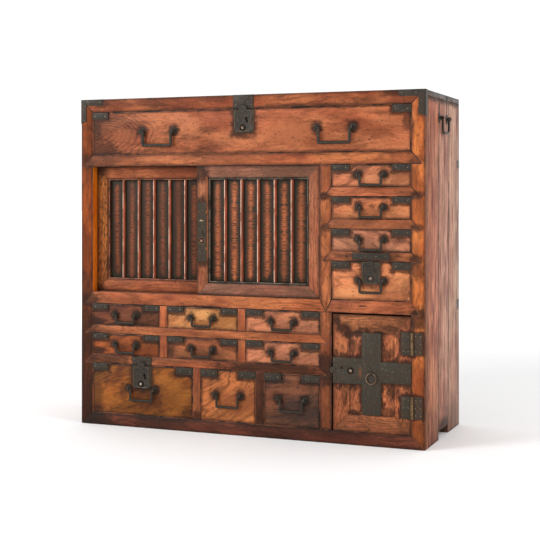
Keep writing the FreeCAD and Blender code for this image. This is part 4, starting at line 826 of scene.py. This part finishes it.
def lock_case(name, x, front_top, opening_top, width, height, depth, slope, tab, tab_drop, button_drop,
              key_drop):
    """A lock: a sloping case with a sunk face, a round tab on top, a button's hole and a keyhole."""
    front, middle = face_y - depth, front_top - height / 2
    case = block(name, (x - width / 2, front, front_top - height), (x + width / 2, face_y, front_top))
    edit("DESELECT")
    leave_edit()
    for edge in case.data.edges:
        ends = [case.data.vertices[i].co for i in edge.vertices]
        low_down = all(end.z < middle for end in ends)
        edge.select = low_down and abs(ends[0].y - ends[1].y) > depth / 2
    edit()
    bpy.ops.mesh.select_mode(type="EDGE")
    bpy.ops.mesh.bevel(offset=lock_corner, segments=4, affect="EDGES")
    bpy.ops.mesh.select_mode(type="FACE")
    bpy.ops.mesh.select_all(action="DESELECT")
    leave_edit()
    for side_face in case.data.polygons:
        side_face.select = side_face.normal.y < -0.95
    edit()
    bpy.ops.transform.resize(value=((width - 2 * slope) / width, 1, (height - 2 * slope) / height),
                             center_override=(x, front, middle))
    bpy.ops.mesh.inset(thickness=case_lip)
    bpy.ops.transform.translate(value=(0, case_sink, 0))
    leave_edit()
    button_z, key_z = opening_top - button_drop, opening_top - key_drop
    near, deep = front - 0.001, face_y - bite
    holes = [settle(rod(button_hole, near, deep, x, button_z, 20))]
    case = cut(case, holes + keyhole(x + key_aside, key_z, near, deep))
    tab_back = frame_front - bite
    tab_top = disc("tab", (x, tab_back, opening_top - tab_drop), tab, tab_back - front + tab_rise, 24)
    ring = settle(rod(button_ring, front + 2 * bite, face_y, x, button_z, 20))
    return [settle(case), tab_top, ring]


burn = 0.008
gap_shade = 0.0028


def corner_strap(outer, inner, top, height):
    """A strap on a top corner of a drawer's front, with a raised fold at its inner end."""
    left, right = sorted((outer, inner))
    front, foot = face_y - strap_thickness, top - height
    fold = strap_fold_width if inner < outer else -strap_fold_width
    left_fold, right_fold = sorted((inner, inner + fold))
    return [board("strap", (left, front, foot), (right, face_y, top), thin_arris),
            board("strap_fold", (left_fold, front - strap_fold_rise, foot), (right_fold, face_y, top),
                  strap_fold_arris)]


def iron_burn(x, top, width, height):
    """The square stain that an iron of that size leaves round itself."""
    return (x, top - height / 2), (width / 2 + burn, height / 2 + burn), 0.9


def drawer_box(name, low, high, top):
    """The box behind a drawer's front: two sides, a back and a floor between them."""
    behind = face_y + drawer_front_thickness
    left, right, rear = low.x + drawer_wall, high.x - drawer_wall, high.y - drawer_wall
    boards = (((low.x, behind, low.z), (left, high.y, top)),
              ((right, behind, low.z), (high.x, high.y, top)),
              ((left, rear, low.z), (right, high.y, top)),
              ((left, behind, low.z), (right, rear, low.z + drawer_floor)))
    return together(name, [board("wall", *ends, thin_arris) for ends in boards])


box_wood = wood("drawer_box_wood", "yxz", *case_span, pale_box, rim=0.0, gloss=0.6, specks=0.2, ring=0.008)
for drawer, look in drawer_looks.items():
    low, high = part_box(drawer)
    top = high.z
    if drawer in lock_cases:
        lock = lock_kinds[lock_cases[drawer]["kind"]]
        top = high.z - lock["tab"] + lock["tab_drop"] - drawer_top_gap
    handles = [f"{drawer}_handle"]
    rose = small_rose
    if drawer == "wide_drawer":
        handles = ["wide_drawer_left_handle", "wide_drawer_right_handle"]
        rose = wide_rose
    strap_height = tall_strap if drawer in tall_straps else low_strap
    irons, pins, nails, marks, plates = [], [], [], list(look.get("marks", ())), []
    for handle in handles:
        (x, y, z), half_spacing = handle_sizes(handle)
        for pin_x in (x - half_spacing, x + half_spacing):
            irons.append(disc("rose", (pin_x, face_y, z), rose, rose_depth))
            pins += eye_pin((pin_x, y, z), pin_shank)
            marks.append(((pin_x, z), (rose * rose_halo, rose * rose_halo), 1.0))
    nail_y, nail_z = face_y - strap_thickness, top - strap_height * strap_nail_drop
    for outer, inner in ((low.x, low.x + strap_length), (high.x, high.x - strap_length)):
        irons += corner_strap(outer, inner, top, strap_height)
        nails += [(outer + (inner - outer) * share, nail_y, nail_z) for share in strap_nail_shares]
        plates.append(iron_burn((outer + inner) / 2, top, strap_length, strap_height))
    if drawer in lock_cases:
        lock = lock_cases[drawer]
        sizes = lock_kinds[lock["kind"]]
        opening_top = top + drawer_top_gap
        irons += lock_case(f"{drawer}_lock", lock["x"], top, opening_top, **sizes)
        plates.append(iron_burn(lock["x"], top, sizes["width"], sizes["height"]))
    half_width, half_height = (high.x - low.x) / 2, (top - low.z) / 2
    # Thin near-black bands along the front's top and right edges: painted shade in the gaps round the
    # drawer.
    plates.append(((low.x + half_width, top), (half_width + burn, gap_shade), 0.95))
    plates.append(((high.x, low.z + half_height), (gap_shade, half_height + burn), 0.85))
    front_span = (low.x, face_y, low.z), (high.x, face_y + drawer_front_thickness, top)
    details = {key: value for key, value in look.items() if key != "marks"}
    finish = wood(f"{drawer}_wood", "xzy", *front_span, marks=marks, plates=plates, **details)
    front = board(f"{drawer}_front", *front_span)
    fit(front, drawer, finish, [drawer], front_edge)
    fit(drawer_box(f"{drawer}_box", low, high, top - drawer_wall_drop), drawer, box_wood)
    fit(together(f"{drawer}_irons", irons), drawer, black_iron, (), rubbed_iron, smallest_edge_facet)
    fit(together(f"{drawer}_pins", pins), drawer, rubbed_iron)
    fit(nail_heads(f"{drawer}_nails", nails), drawer, bright_nail)


# ------------------------------------------------------------
# Bail handles, ring and buttons
# A bail is a forged bar, bent to a flat loop with tight corners, whose thinned ends turn out through the
# eyes of its two pins. The ring is thick wire. The lock buttons are light where thumbs wore them, and
# partly a painted highlight.

bail_rounding = 50
side_loop_corner = 0.012
leg_inset = 0.0054
bend_radius = 0.0040
loop_corner = 0.0026
bail_sides = 8
wide_bar = 0.0035
slim_bar = 0.0029
pintle = 0.0024
neck = 0.0012


def bail(name, hinge, half_spacing, foot, bar, corner=loop_corner):
    """A loop from a thin circle run out, swelled, bent down, along, up and out again, and thinned.
    Its hinge line is along X."""
    x, y, z = hinge
    left, right = x - half_spacing + leg_inset, x + half_spacing - leg_inset
    level = foot + bar
    start, stop = x - half_spacing - eye_reach, x + half_spacing + eye_reach
    deselect()
    bpy.ops.mesh.primitive_circle_add(vertices=bail_sides, radius=pintle * 1.04, fill_type="NGON",
                                      location=(start, y, z))
    piece = bpy.context.object
    piece.name = name
    piece.rotation_euler = (math.pi / bail_sides, math.pi / 2, 0)
    apply_place()
    edit("SELECT")
    quarter = math.pi / 2
    swell = bar / pintle
    steps = [
        ("run", (left - bend_radius - neck - start, 0, 0)),
        ("run", (neck, 0, 0)),
        ("size", swell, (left - bend_radius, y, z)),
        ("turn", (left - bend_radius, y, z - bend_radius), -quarter),
        ("run", (0, 0, level + corner - (z - bend_radius))),
        ("turn", (left + corner, y, level + corner), quarter),
        ("run", (right - left - 2 * corner, 0, 0)),
        ("turn", (right - corner, y, level + corner), quarter),
        ("run", (0, 0, z - bend_radius - (level + corner))),
        ("turn", (right + bend_radius, y, z - bend_radius), -quarter),
        ("run", (neck, 0, 0)),
        ("size", 1 / swell, (right + bend_radius + neck, y, z)),
        ("run", (stop - (right + bend_radius + neck), 0, 0)),
    ]
    for kind, amount, *rest in steps:
        if kind == "run":
            bpy.ops.mesh.extrude_region_move(TRANSFORM_OT_translate={"value": amount})
        elif kind == "size":
            bpy.ops.transform.resize(value=(amount, amount, amount), center_override=rest[0])
        else:
            bpy.ops.mesh.spin(steps=3, angle=rest[0], center=amount, axis=(0, 1, 0))
    bpy.ops.mesh.select_all(action="SELECT")
    bpy.ops.mesh.remove_doubles(threshold=0.00002)
    bpy.ops.mesh.normals_make_consistent(inside=False)
    leave_edit()
    return settle(piece, bail_rounding)


for handle in [name for name in frame["nodes"] if name.endswith("_handle")]:
    hinge, half_spacing = handle_sizes(handle)
    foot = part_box(handle)[0].z
    if "side_handle" in handle:
        piece = bail(f"{handle}_bail", (0, 0, hinge[2]), half_spacing, foot, slim_bar, side_loop_corner)
        piece.rotation_euler = (0, 0, math.pi / 2)
        piece.location = (hinge[0], hinge[1], 0)
        settle(piece, bail_rounding)
    else:
        bar = wide_bar if handle.startswith("wide") else slim_bar
        piece = bail(f"{handle}_bail", hinge, half_spacing, foot, bar)
    fit(piece, handle, black_iron, [handle])

ring_radius = 0.0118
ring_wire = 0.0018
ring_wear = 0.0003
button_depth = 0.0012
pivot = hinge_places["ring_pull_swing"]
ring_middle = pivot[0], pivot[1], pivot[2] - ring_radius
ring = hoop(ring_middle, (math.pi / 2, 0, 0), ring_radius, ring_wire, 40, 10)
ring.name = "ring_pull_wire"
apply_place()
for corner in ring.data.vertices:
    corner.select = corner.co.z > pivot[2] - ring_wire * 2
edit()
bpy.ops.transform.shrink_fatten(value=-ring_wear)
leave_edit()
# The ring is a lighter, brownish iron than the rest: partly a painted sheen of the light it catches.
ring_iron = forged("ring_iron", "94765e", "5c4638", lift=0.35, metallic=0.5)
fit(settle(ring), "ring_pull", ring_iron, ["ring_pull"])

# The buttons' light tone is partly worn metal and partly a painted highlight.
bright_button = forged("bright_button", "b09a86", "6e5040", lift=0.3, metallic=0.5)
for bolt in ("wide_drawer_bolt", "right_drawer_4_bolt", "bottom_drawer_1_bolt", "sliding_door_latch",
             "hinged_door_bolt"):
    piece = fit(worn_copy(bolt, f"{bolt}_forged", 0.0008, 3), bolt, black_iron, [bolt])
    button_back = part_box(bolt)[0].y + button_depth
    give(piece, bright_button, lambda side_face: side_face.center.y < button_back)


# ------------------------------------------------------------
# Sliding doors
# Two latticed doors run past each other in the grooves of the rails. Mitred frame, thin bead, five upright
# bars, and behind them a panel that light and hands have reddened in the middle of each bay. The right
# door runs in front, and has a slim iron lock on its left stile.

door_frame_width = 0.027
bead_width = 0.005
door_foot, door_top = 0.3233, 0.6256
door_depth = 0.017
bar_count = 5
bar_width = 0.007
bar_depth = 0.006
bar_setback = 0.005
panel_black, flame_dark = "2b251b", "2a1a12"
bar_arris = 0.0026
bead_setback, bead_depth, bead_arris = 0.003, 0.012, 0.0009
panel_setback, panel_thickness, panel_arris = 0.011, 0.005, 0.0004
panel_tongue = 0.001


def mitred_frame(name, low_x, high_x, foot, top, front, depth, width, arris=0.0008):
    """Four bars mitred at the corners: a face inset, opened, parted at its mitres and thickened."""
    deselect()
    bpy.ops.mesh.primitive_plane_add(size=1, rotation=(math.pi / 2, 0, 0),
                                     location=((low_x + high_x) / 2, front, (foot + top) / 2))
    piece = bpy.context.object
    piece.name = name
    piece.scale = (high_x - low_x, top - foot, 1)
    apply_place()
    edit("SELECT")
    bpy.ops.mesh.inset(thickness=width)
    bpy.ops.mesh.delete(type="FACE")
    bpy.ops.mesh.select_all(action="SELECT")
    bpy.ops.mesh.edge_split(type="EDGE")
    bpy.ops.mesh.extrude_region_move(TRANSFORM_OT_translate={"value": (0, depth, 0)})
    bpy.ops.mesh.select_all(action="SELECT")
    bpy.ops.mesh.normals_make_consistent(inside=False)
    bpy.ops.mesh.bevel(offset=arris, segments=2, affect="EDGES")
    leave_edit()
    return settle(piece)


def cut_left_stile(piece, cutter):
    """Mortises the left stile of a mitred frame, which is taken apart for it and put together again."""
    name = piece.name
    work_on(piece)
    bpy.ops.mesh.separate(type="LOOSE")
    bars = sorted(bpy.context.selected_objects, key=lambda bar: sum(corner[0] for corner in bar.bound_box))
    cut(bars[0], [cutter])
    return settle(together(name, bars))


def grain_up(piece, span, finish):
    """Gives the upright members of a mitred frame their own finish, with the grain upright."""
    (left, _, foot), (right, _, top) = span
    give(piece, finish, lambda side_face: min(side_face.center.x - left, right - side_face.center.x)
         < min(side_face.center.z - foot, top - side_face.center.z))


bead_finishes = {
    "left_sliding_door": (wood("reddish_bead_wood", "xzy", *case_span, "6e3c26 4a281a 1a100b", rim=0.0),
                          wear_and_sheen_wood("reddish_bead_edge_wood", "a46a4a", "3a2218")),
    "right_sliding_door": (wood("black_bead_wood", "xzy", *case_span, "40342a 2a221b 120e0b", rim=0.0),
                           wear_and_sheen_wood("black_bead_edge_wood", "8a7a68", "2c2019")),
}
umber = "8e5c46 6a4534 36241b"


def flame_panel(name, low, high, bays, hot, cool):
    """The panel behind the bars: black by the bars, and worn to a red-brown flame along each bay."""
    made, tree, shader = start_finish(name, 0.15)
    place = add_node(tree, "TexCoord").outputs["Object"]
    at = add_node(tree, "SeparateXYZ", {0: place}).outputs
    share = calc(tree, "MULTIPLY", calc(tree, "SUBTRACT", at[0], low[0]), bays / (high[0] - low[0]))
    bay = calc(tree, "SUBTRACT", calc(tree, "FRACT", share), 0.5)
    wander = wobble(tree, grit(tree, place, (22.0, 1.0, 7.0), 2.0), 0.12)
    off = calc(tree, "ABSOLUTE", calc(tree, "ADD", bay, wander))
    half = (high[2] - low[2]) / 2
    rise = calc(tree, "ABSOLUTE", calc(tree, "SUBTRACT", at[2], (high[2] + low[2]) / 2))
    start = wobble(tree, grit(tree, place, (26.0, 1.0, 1.0)), half * 0.3)
    taper = fade(tree, calc(tree, "ADD", rise, start), half * 1.04, half * 0.82, -0.14, 0.20)
    swell = wobble(tree, grit(tree, place, (24.0, 1.0, 14.0), 2.0), 0.12)
    ripple = grit(tree, place, (16.0, 1.0, 300.0), 3.0, 0.7)
    width = calc(tree, "ADD", calc(tree, "ADD", taper, swell), wobble(tree, ripple, 0.85))
    inside = calc(tree, "SUBTRACT", off, width)
    flame = fade(tree, inside, 0.12, -0.08, 0.0, 0.92)
    warm = tint(tree, fade(tree, inside, -0.02, -0.13), paint(cool), paint(hot))
    warm = tint(tree, fade(tree, ripple, 0.46, 0.62, 0.0, 0.8), warm, paint(flame_dark))
    uneven = grit(tree, place, (24.0, 1.0, 7.0), 2.0)
    warm = tint(tree, fade(tree, uneven, 0.45, 0.68, 0.0, 0.45), warm, paint(flame_dark))
    dimmed = fade(tree, grit(tree, place, (13.0, 1.0, 1.0)), 0.45, 0.6, 0.0, 0.35)
    tone = tint(tree, flame, paint(panel_black), tint(tree, dimmed, warm, paint(cool)))
    join_up(tree, shader, tone, fade(tree, ripple, 0.3, 0.7, 0.5, 0.65), ripple, 0.4, 0.0006)
    return made


sliding_looks = {
    "left_sliding_door": dict(left=-0.3986, right=-0.0923, front=-0.141, rail=reddish,
                              stile="b46a30 84471f 150c07", crackle=0.8, flame=("8a4a2e", "4a2c1e"),
                              marks=stains((-390, 617, 26, 22, 0.95), (-393, 330, 16, 12, 0.8))),
    "right_sliding_door": dict(left=-0.1196, right=0.1867, front=-0.1605, rail=umber,
                               stile="ac6a48 84492f 2e190f", crackle=0.0, flame=("ba6840", "6a3c26"),
                               marks=stains((-107, 608, 18, 24, 0.95), (-106, 541, 16, 18, 0.95),
                                            (-106, 400, 16, 14, 0.95))),
}
# A pale finish for the bars' left facets: a painted highlight where light from the left catches them.
bar_highlight = wear_and_sheen_wood("bar_facet_wood", "dcb4a0", "a87058")
facet_slant = 0.15
bolt_play, bolt_rise = 0.0003, 0.004
latch_low, latch_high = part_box("sliding_door_latch")
latch_room = block("latch_room", (latch_low.x - bolt_play, latch_low.y, latch_low.z - bolt_play),
                   (latch_high.x + bolt_play, latch_high.y + bolt_play,
                    latch_high.z + bolt_rise + bolt_play))
for door, look in sliding_looks.items():
    low_x, high_x, front = look["left"], look["right"], look["front"]
    inner = low_x + door_frame_width, high_x - door_frame_width
    inner_z = door_foot + door_frame_width, door_top - door_frame_width
    span = (low_x, front, door_foot), (high_x, front + door_depth, door_top)
    rail_finish = wood(f"{door}_rail_wood", "xzy", *span, look["rail"], marks=look["marks"])
    stile_finish = wood(f"{door}_stile_wood", "zxy", *span, look["stile"], heart=(0.1, 0.0, 0.05),
                        lean=(0.02, 0.0), crackle=look["crackle"], marks=look["marks"])
    outer_frame = mitred_frame(f"{door}_frame", low_x, high_x, door_foot, door_top, front, door_depth,
                               door_frame_width)
    if door == "right_sliding_door":
        outer_frame = cut_left_stile(outer_frame, latch_room)
    fit(outer_frame, door, rail_finish, [door])
    grain_up(outer_frame, span, stile_finish)
    bead = mitred_frame(f"{door}_bead", *inner, *inner_z, front + bead_setback, bead_depth, bead_width,
                        bead_arris)
    bead_wood, bead_edge = bead_finishes[door]
    fit(bead, door, bead_wood, (), bead_edge)
    opening = inner[0] + bead_width, inner[1] - bead_width
    pitch = (opening[1] - opening[0] + bar_width) / (bar_count + 1)
    bars = []
    for i in range(bar_count):
        bar_x = opening[0] + pitch * (i + 1) - bar_width
        bar_low = bar_x, front + bar_setback, inner_z[0] + bead_width
        bar_high = bar_x + bar_width, bar_low[1] + bar_depth, inner_z[1] - bead_width
        bars.append(board("bar", bar_low, bar_high, bar_arris))
    bar_finish = wood(f"{door}_bar_wood", "zxy", *span, "9c4f30 6f3520 2c140c", rim=0.0, specks=0.3)
    bars = fit(together(f"{door}_bars", bars), door, bar_finish)
    # The bars' faces that turn to the left and the front take the painted highlight.
    give(bars, bar_highlight, lambda side_face: -0.97 < side_face.normal.x < -facet_slant
         and side_face.normal.y < -facet_slant)
    panel_low = inner[0] - panel_tongue, front + panel_setback, inner_z[0] - panel_tongue
    panel_high = inner[1] + panel_tongue, panel_low[1] + panel_thickness, inner_z[1] + panel_tongue
    panel_finish = flame_panel(f"{door}_panel_wood", (opening[0] - bar_width / 2, 0, inner_z[0]),
                               (opening[1] + bar_width / 2, 0, inner_z[1]), bar_count + 1, *look["flame"])
    fit(board(f"{door}_panel", panel_low, panel_high, panel_arris), door, panel_finish)


slim_width, slim_height, slim_depth = 0.023, 0.138, 0.0016
slim_x, slim_foot = -0.1061, 0.4019
slim_button, slim_key, slim_staple = 0.048, 0.068, 0.095
slim_key_aside = 0.003
notch_radius = 0.0035
notch_rises = (0.030, slim_height - 0.022)
slim_hole = 0.0073
drill_reach = 0.004
collar_radius, collar_wire = 0.0081, 0.0009
staple_half_width, staple_half_height, staple_depth, staple_arris = 0.006, 0.002, 0.0032, 0.0008
slim_front = sliding_looks["right_sliding_door"]["front"]
slim = block("slim_lock", (slim_x - slim_width / 2, slim_front - slim_depth, slim_foot),
             (slim_x + slim_width / 2, slim_front, slim_foot + slim_height))
notches = []
for notch_rise in notch_rises:
    for notch_x in (slim_x - slim_width / 2, slim_x + slim_width / 2):
        notches.append(settle(rod(notch_radius, slim_front - drill_reach, slim_front + 0.002, notch_x,
                                  slim_foot + notch_rise, 20)))
slim = cut(slim, notches)
holes = [settle(rod(slim_hole, slim_front - drill_reach, slim_front + 0.001, slim_x,
                    slim_foot + slim_button, 20))]
holes += keyhole(slim_x + slim_key_aside, slim_foot + slim_key, slim_front - drill_reach,
                 slim_front - 0.0003)
slim = settle(cut(slim, holes))
collar_middle = slim_x, slim_front - slim_depth, slim_foot + slim_button
collar = settle(hoop(collar_middle, (math.pi / 2, 0, 0), collar_radius, collar_wire, 24))
staple_z = slim_foot + slim_staple
staple_low = slim_x - staple_half_width, slim_front - staple_depth, staple_z - staple_half_height
staple_high = slim_x + staple_half_width, slim_front - 0.001, staple_z + staple_half_height
staple = board("staple", staple_low, staple_high, staple_arris)
fit(together("slim_lock_forged", [slim]), "right_sliding_door", slim_iron)
fit(together("slim_lock_staple", [staple]), "right_sliding_door", bright_nail)
fit(together("slim_lock_collar", [collar]), "right_sliding_door", worn_brass)


# ------------------------------------------------------------
# Hinged door
# A mitred keyaki frame round a thin panel, held by a broad iron cross that is nailed on, with a lock, two
# hinges and a ring pull. The wood is burnt black along the iron, and its lacquer is cracked.

hinged_stile_width = 0.038
door_span = (0.2182, 0.3986), (0.0302, 0.2905)
hinged_front = -0.162
hinged_depth = 0.018
hinged_panel_setback, hinged_panel_depth = 0.0006, 0.010
leaf_iron_depth, cross_iron_depth = 0.0020, 0.0022
cross_x, cross_nail_aside = 0.3084, 0.017
door_burns = stains(
    (241, 260, 18, 14, 1.0), (228, 276, 10, 16, 1.0), (256, 248, 18, 13, 1.0), (276, 248, 22, 10, 1.0),
    (326, 249, 20, 9, 1.0), (352, 262, 26, 9, 0.7), (371, 252, 16, 12, 0.85), (268, 72, 20, 8, 0.9),
    (345, 78, 20, 12, 0.7), (262, 222, 12, 24, 0.7), (341, 204, 20, 14, 0.8), (358, 124, 20, 18, 0.8),
    (245, 105, 8, 26, 0.6), (392, 110, 10, 10, 0.6), (310, 44, 90, 20, 0.4), (382, 46, 30, 26, 0.55),
    (388, 276, 26, 20, 0.5), (240, 44, 22, 18, 0.35))
cross_burns = stains(
    (308.4, 163, 30, 99, 0.95), (252, 165.3, 42, 41, 0.95), (365, 165.3, 44, 33, 0.95),
    (388, 231.5, 18, 31, 0.95), (388, 91.5, 18, 31, 0.95))
door_orange = "d48252 a45c3a 341b12"
door_iron = forged("door_iron", "3d382e", "44372a", metallic=0.15, bare=stains((282, 163, 4, 13, 0.5)))
span = ((door_span[0][0], hinged_front, door_span[1][0]),
        (door_span[0][1], hinged_front + hinged_depth, door_span[1][1]))
rail_finish = wood("hinged_door_rail_wood", "xzy", *span, "bc744a 8e5434 341c12", marks=door_burns,
                   plates=cross_burns, crackle=0.35)
stile_finish = wood("hinged_door_stile_wood", "zxy", *span, door_orange, heart=(0.0, 0.03, 0.04),
                    lean=(0.05, 0.2), marks=door_burns, plates=cross_burns, crackle=0.5, streaky=0.6)
door_frame = mitred_frame("hinged_door_frame", *door_span[0], *door_span[1], hinged_front, hinged_depth,
                          hinged_stile_width)
bolt_low, bolt_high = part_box("hinged_door_bolt")
channel = ((bolt_low.x, hinged_front - 0.001, bolt_low.z - bolt_play),
           (bolt_high.x + bolt_play, bolt_high.y + bolt_play, bolt_high.z + bolt_play))
door_frame = cut_left_stile(door_frame, block("bolt_channel", *channel))
fit(door_frame, "hinged_door", rail_finish, ["hinged_door"])
grain_up(door_frame, span, stile_finish)
lap = hinged_stile_width - panel_tongue
panel_low = span[0][0] + lap, hinged_front + hinged_panel_setback, span[0][2] + lap
panel_high = span[1][0] - lap, hinged_front + hinged_panel_depth, span[1][2] - lap
panel_finish = wood("hinged_door_panel_wood", "zxy", panel_low, panel_high, door_orange,
                    heart=(0.0, 0.05, 0.03), lean=(0.05, 0.25), marks=door_burns, plates=cross_burns,
                    crackle=0.5, rim=0.75, streaky=0.6)
panel = board("hinged_door_panel", panel_low, panel_high, panel_arris)
fit(settle(cut(panel, [block("bolt_channel", *channel)])), "hinged_door", panel_finish)
rub_knuckles(forged_copy("door_irons", "hinged_door", door_iron))
leaf_nails = [(x, hinged_front - leaf_iron_depth, z) for x in (0.3815, 0.3925) for z in leaf_rows]
cross_places = [(cross_x + side * cross_nail_aside, z) for side in (-1, 1) for z in (0.082, 0.205, 0.244)]
cross_places += [(x, z) for x in (0.226, 0.340, 0.392) for z in (0.149, 0.182)]
cross_nails = [(x, hinged_front - cross_iron_depth, z) for x, z in cross_places]
fit(nail_heads("hinged_door_leaf_nails", leaf_nails), "hinged_door", bright_nail)
fit(nail_heads("hinged_door_cross_nails", cross_nails), "hinged_door", rubbed_iron)


# ------------------------------------------------------------
# Studio
# A pale floor that runs out to white, two soft lamps, and a white surround that is brighter behind the
# chest. The level camera stands to the chest's right and is shifted down, so uprights stay parallel.

def lamp(name, place, aim, size, power):
    """A soft square lamp that points at a place."""
    deselect()
    bpy.ops.object.light_add(type="AREA", location=place)
    made = bpy.context.object
    made.name = name
    made.data.shape = "SQUARE"
    made.data.size = size
    made.data.energy = power
    direction = [b - a for a, b in zip(place, aim)]
    flat_reach = math.hypot(direction[0], direction[1])
    made.rotation_euler = (math.pi / 2 + math.atan2(direction[2], flat_reach), 0,
                           math.atan2(direction[1], direction[0]) - math.pi / 2)


deselect()
bpy.ops.mesh.primitive_plane_add(size=60, location=(0, 0, 0))
floor = bpy.context.object
floor.name = "floor"
floor_paint, floor_tree, floor_shader = start_finish("floor_paint", 0.5)
floor_shader.inputs["Base Color"].default_value = (0.95, 0.95, 0.95, 1.0)
floor_shader.inputs["Roughness"].default_value = 0.9
floor_shader.inputs["Emission Color"].default_value = (1.0, 1.0, 1.0, 1.0)
floor_place = add_node(floor_tree, "TexCoord").outputs["Object"]
floor_reach = add_node(floor_tree, "VectorMath", {0: floor_place}, operation="LENGTH").outputs["Value"]
floor_glow = fade(floor_tree, floor_reach, 1.2, 4.0, 0.0, 0.7)
floor_tree.links.new(floor_glow, floor_shader.inputs["Emission Strength"])
floor.data.materials.append(floor_paint)

chest_middle = (0.0, 0.0, 0.4)
lamp("key_lamp", (-2.2, -2.6, 2.0), chest_middle, 1.3, 75)
lamp("side_lamp", (3.0, -1.2, 1.6), chest_middle, 1.3, 30)
front_light = 0.7
back_light = 1.05
world = bpy.data.worlds.new("studio")
world.use_nodes = True
backdrop = world.node_tree.nodes["Background"]
backdrop.inputs["Color"].default_value = (1.0, 1.0, 1.0, 1.0)
toward = add_node(world.node_tree, "TexCoord").outputs["Generated"]
depth = add_node(world.node_tree, "SeparateXYZ", {0: toward}).outputs[1]
world.node_tree.links.new(fade(world.node_tree, depth, -0.6, 0.5, front_light, back_light),
                          backdrop.inputs["Strength"])
bpy.context.scene.world = world
bpy.context.scene.view_settings.view_transform = "Standard"

camera_place = (1.0899, -2.7140, 0.5613)
camera_turn = 21.867
camera_lens = 80.02
camera_shift = -0.1422
deselect()
bpy.ops.object.camera_add(location=camera_place, rotation=(math.pi / 2, 0, math.radians(camera_turn)))
camera = bpy.context.object
camera.data.lens = camera_lens
camera.data.sensor_width = 36.0
camera.data.shift_y = camera_shift
bpy.context.scene.camera = camera
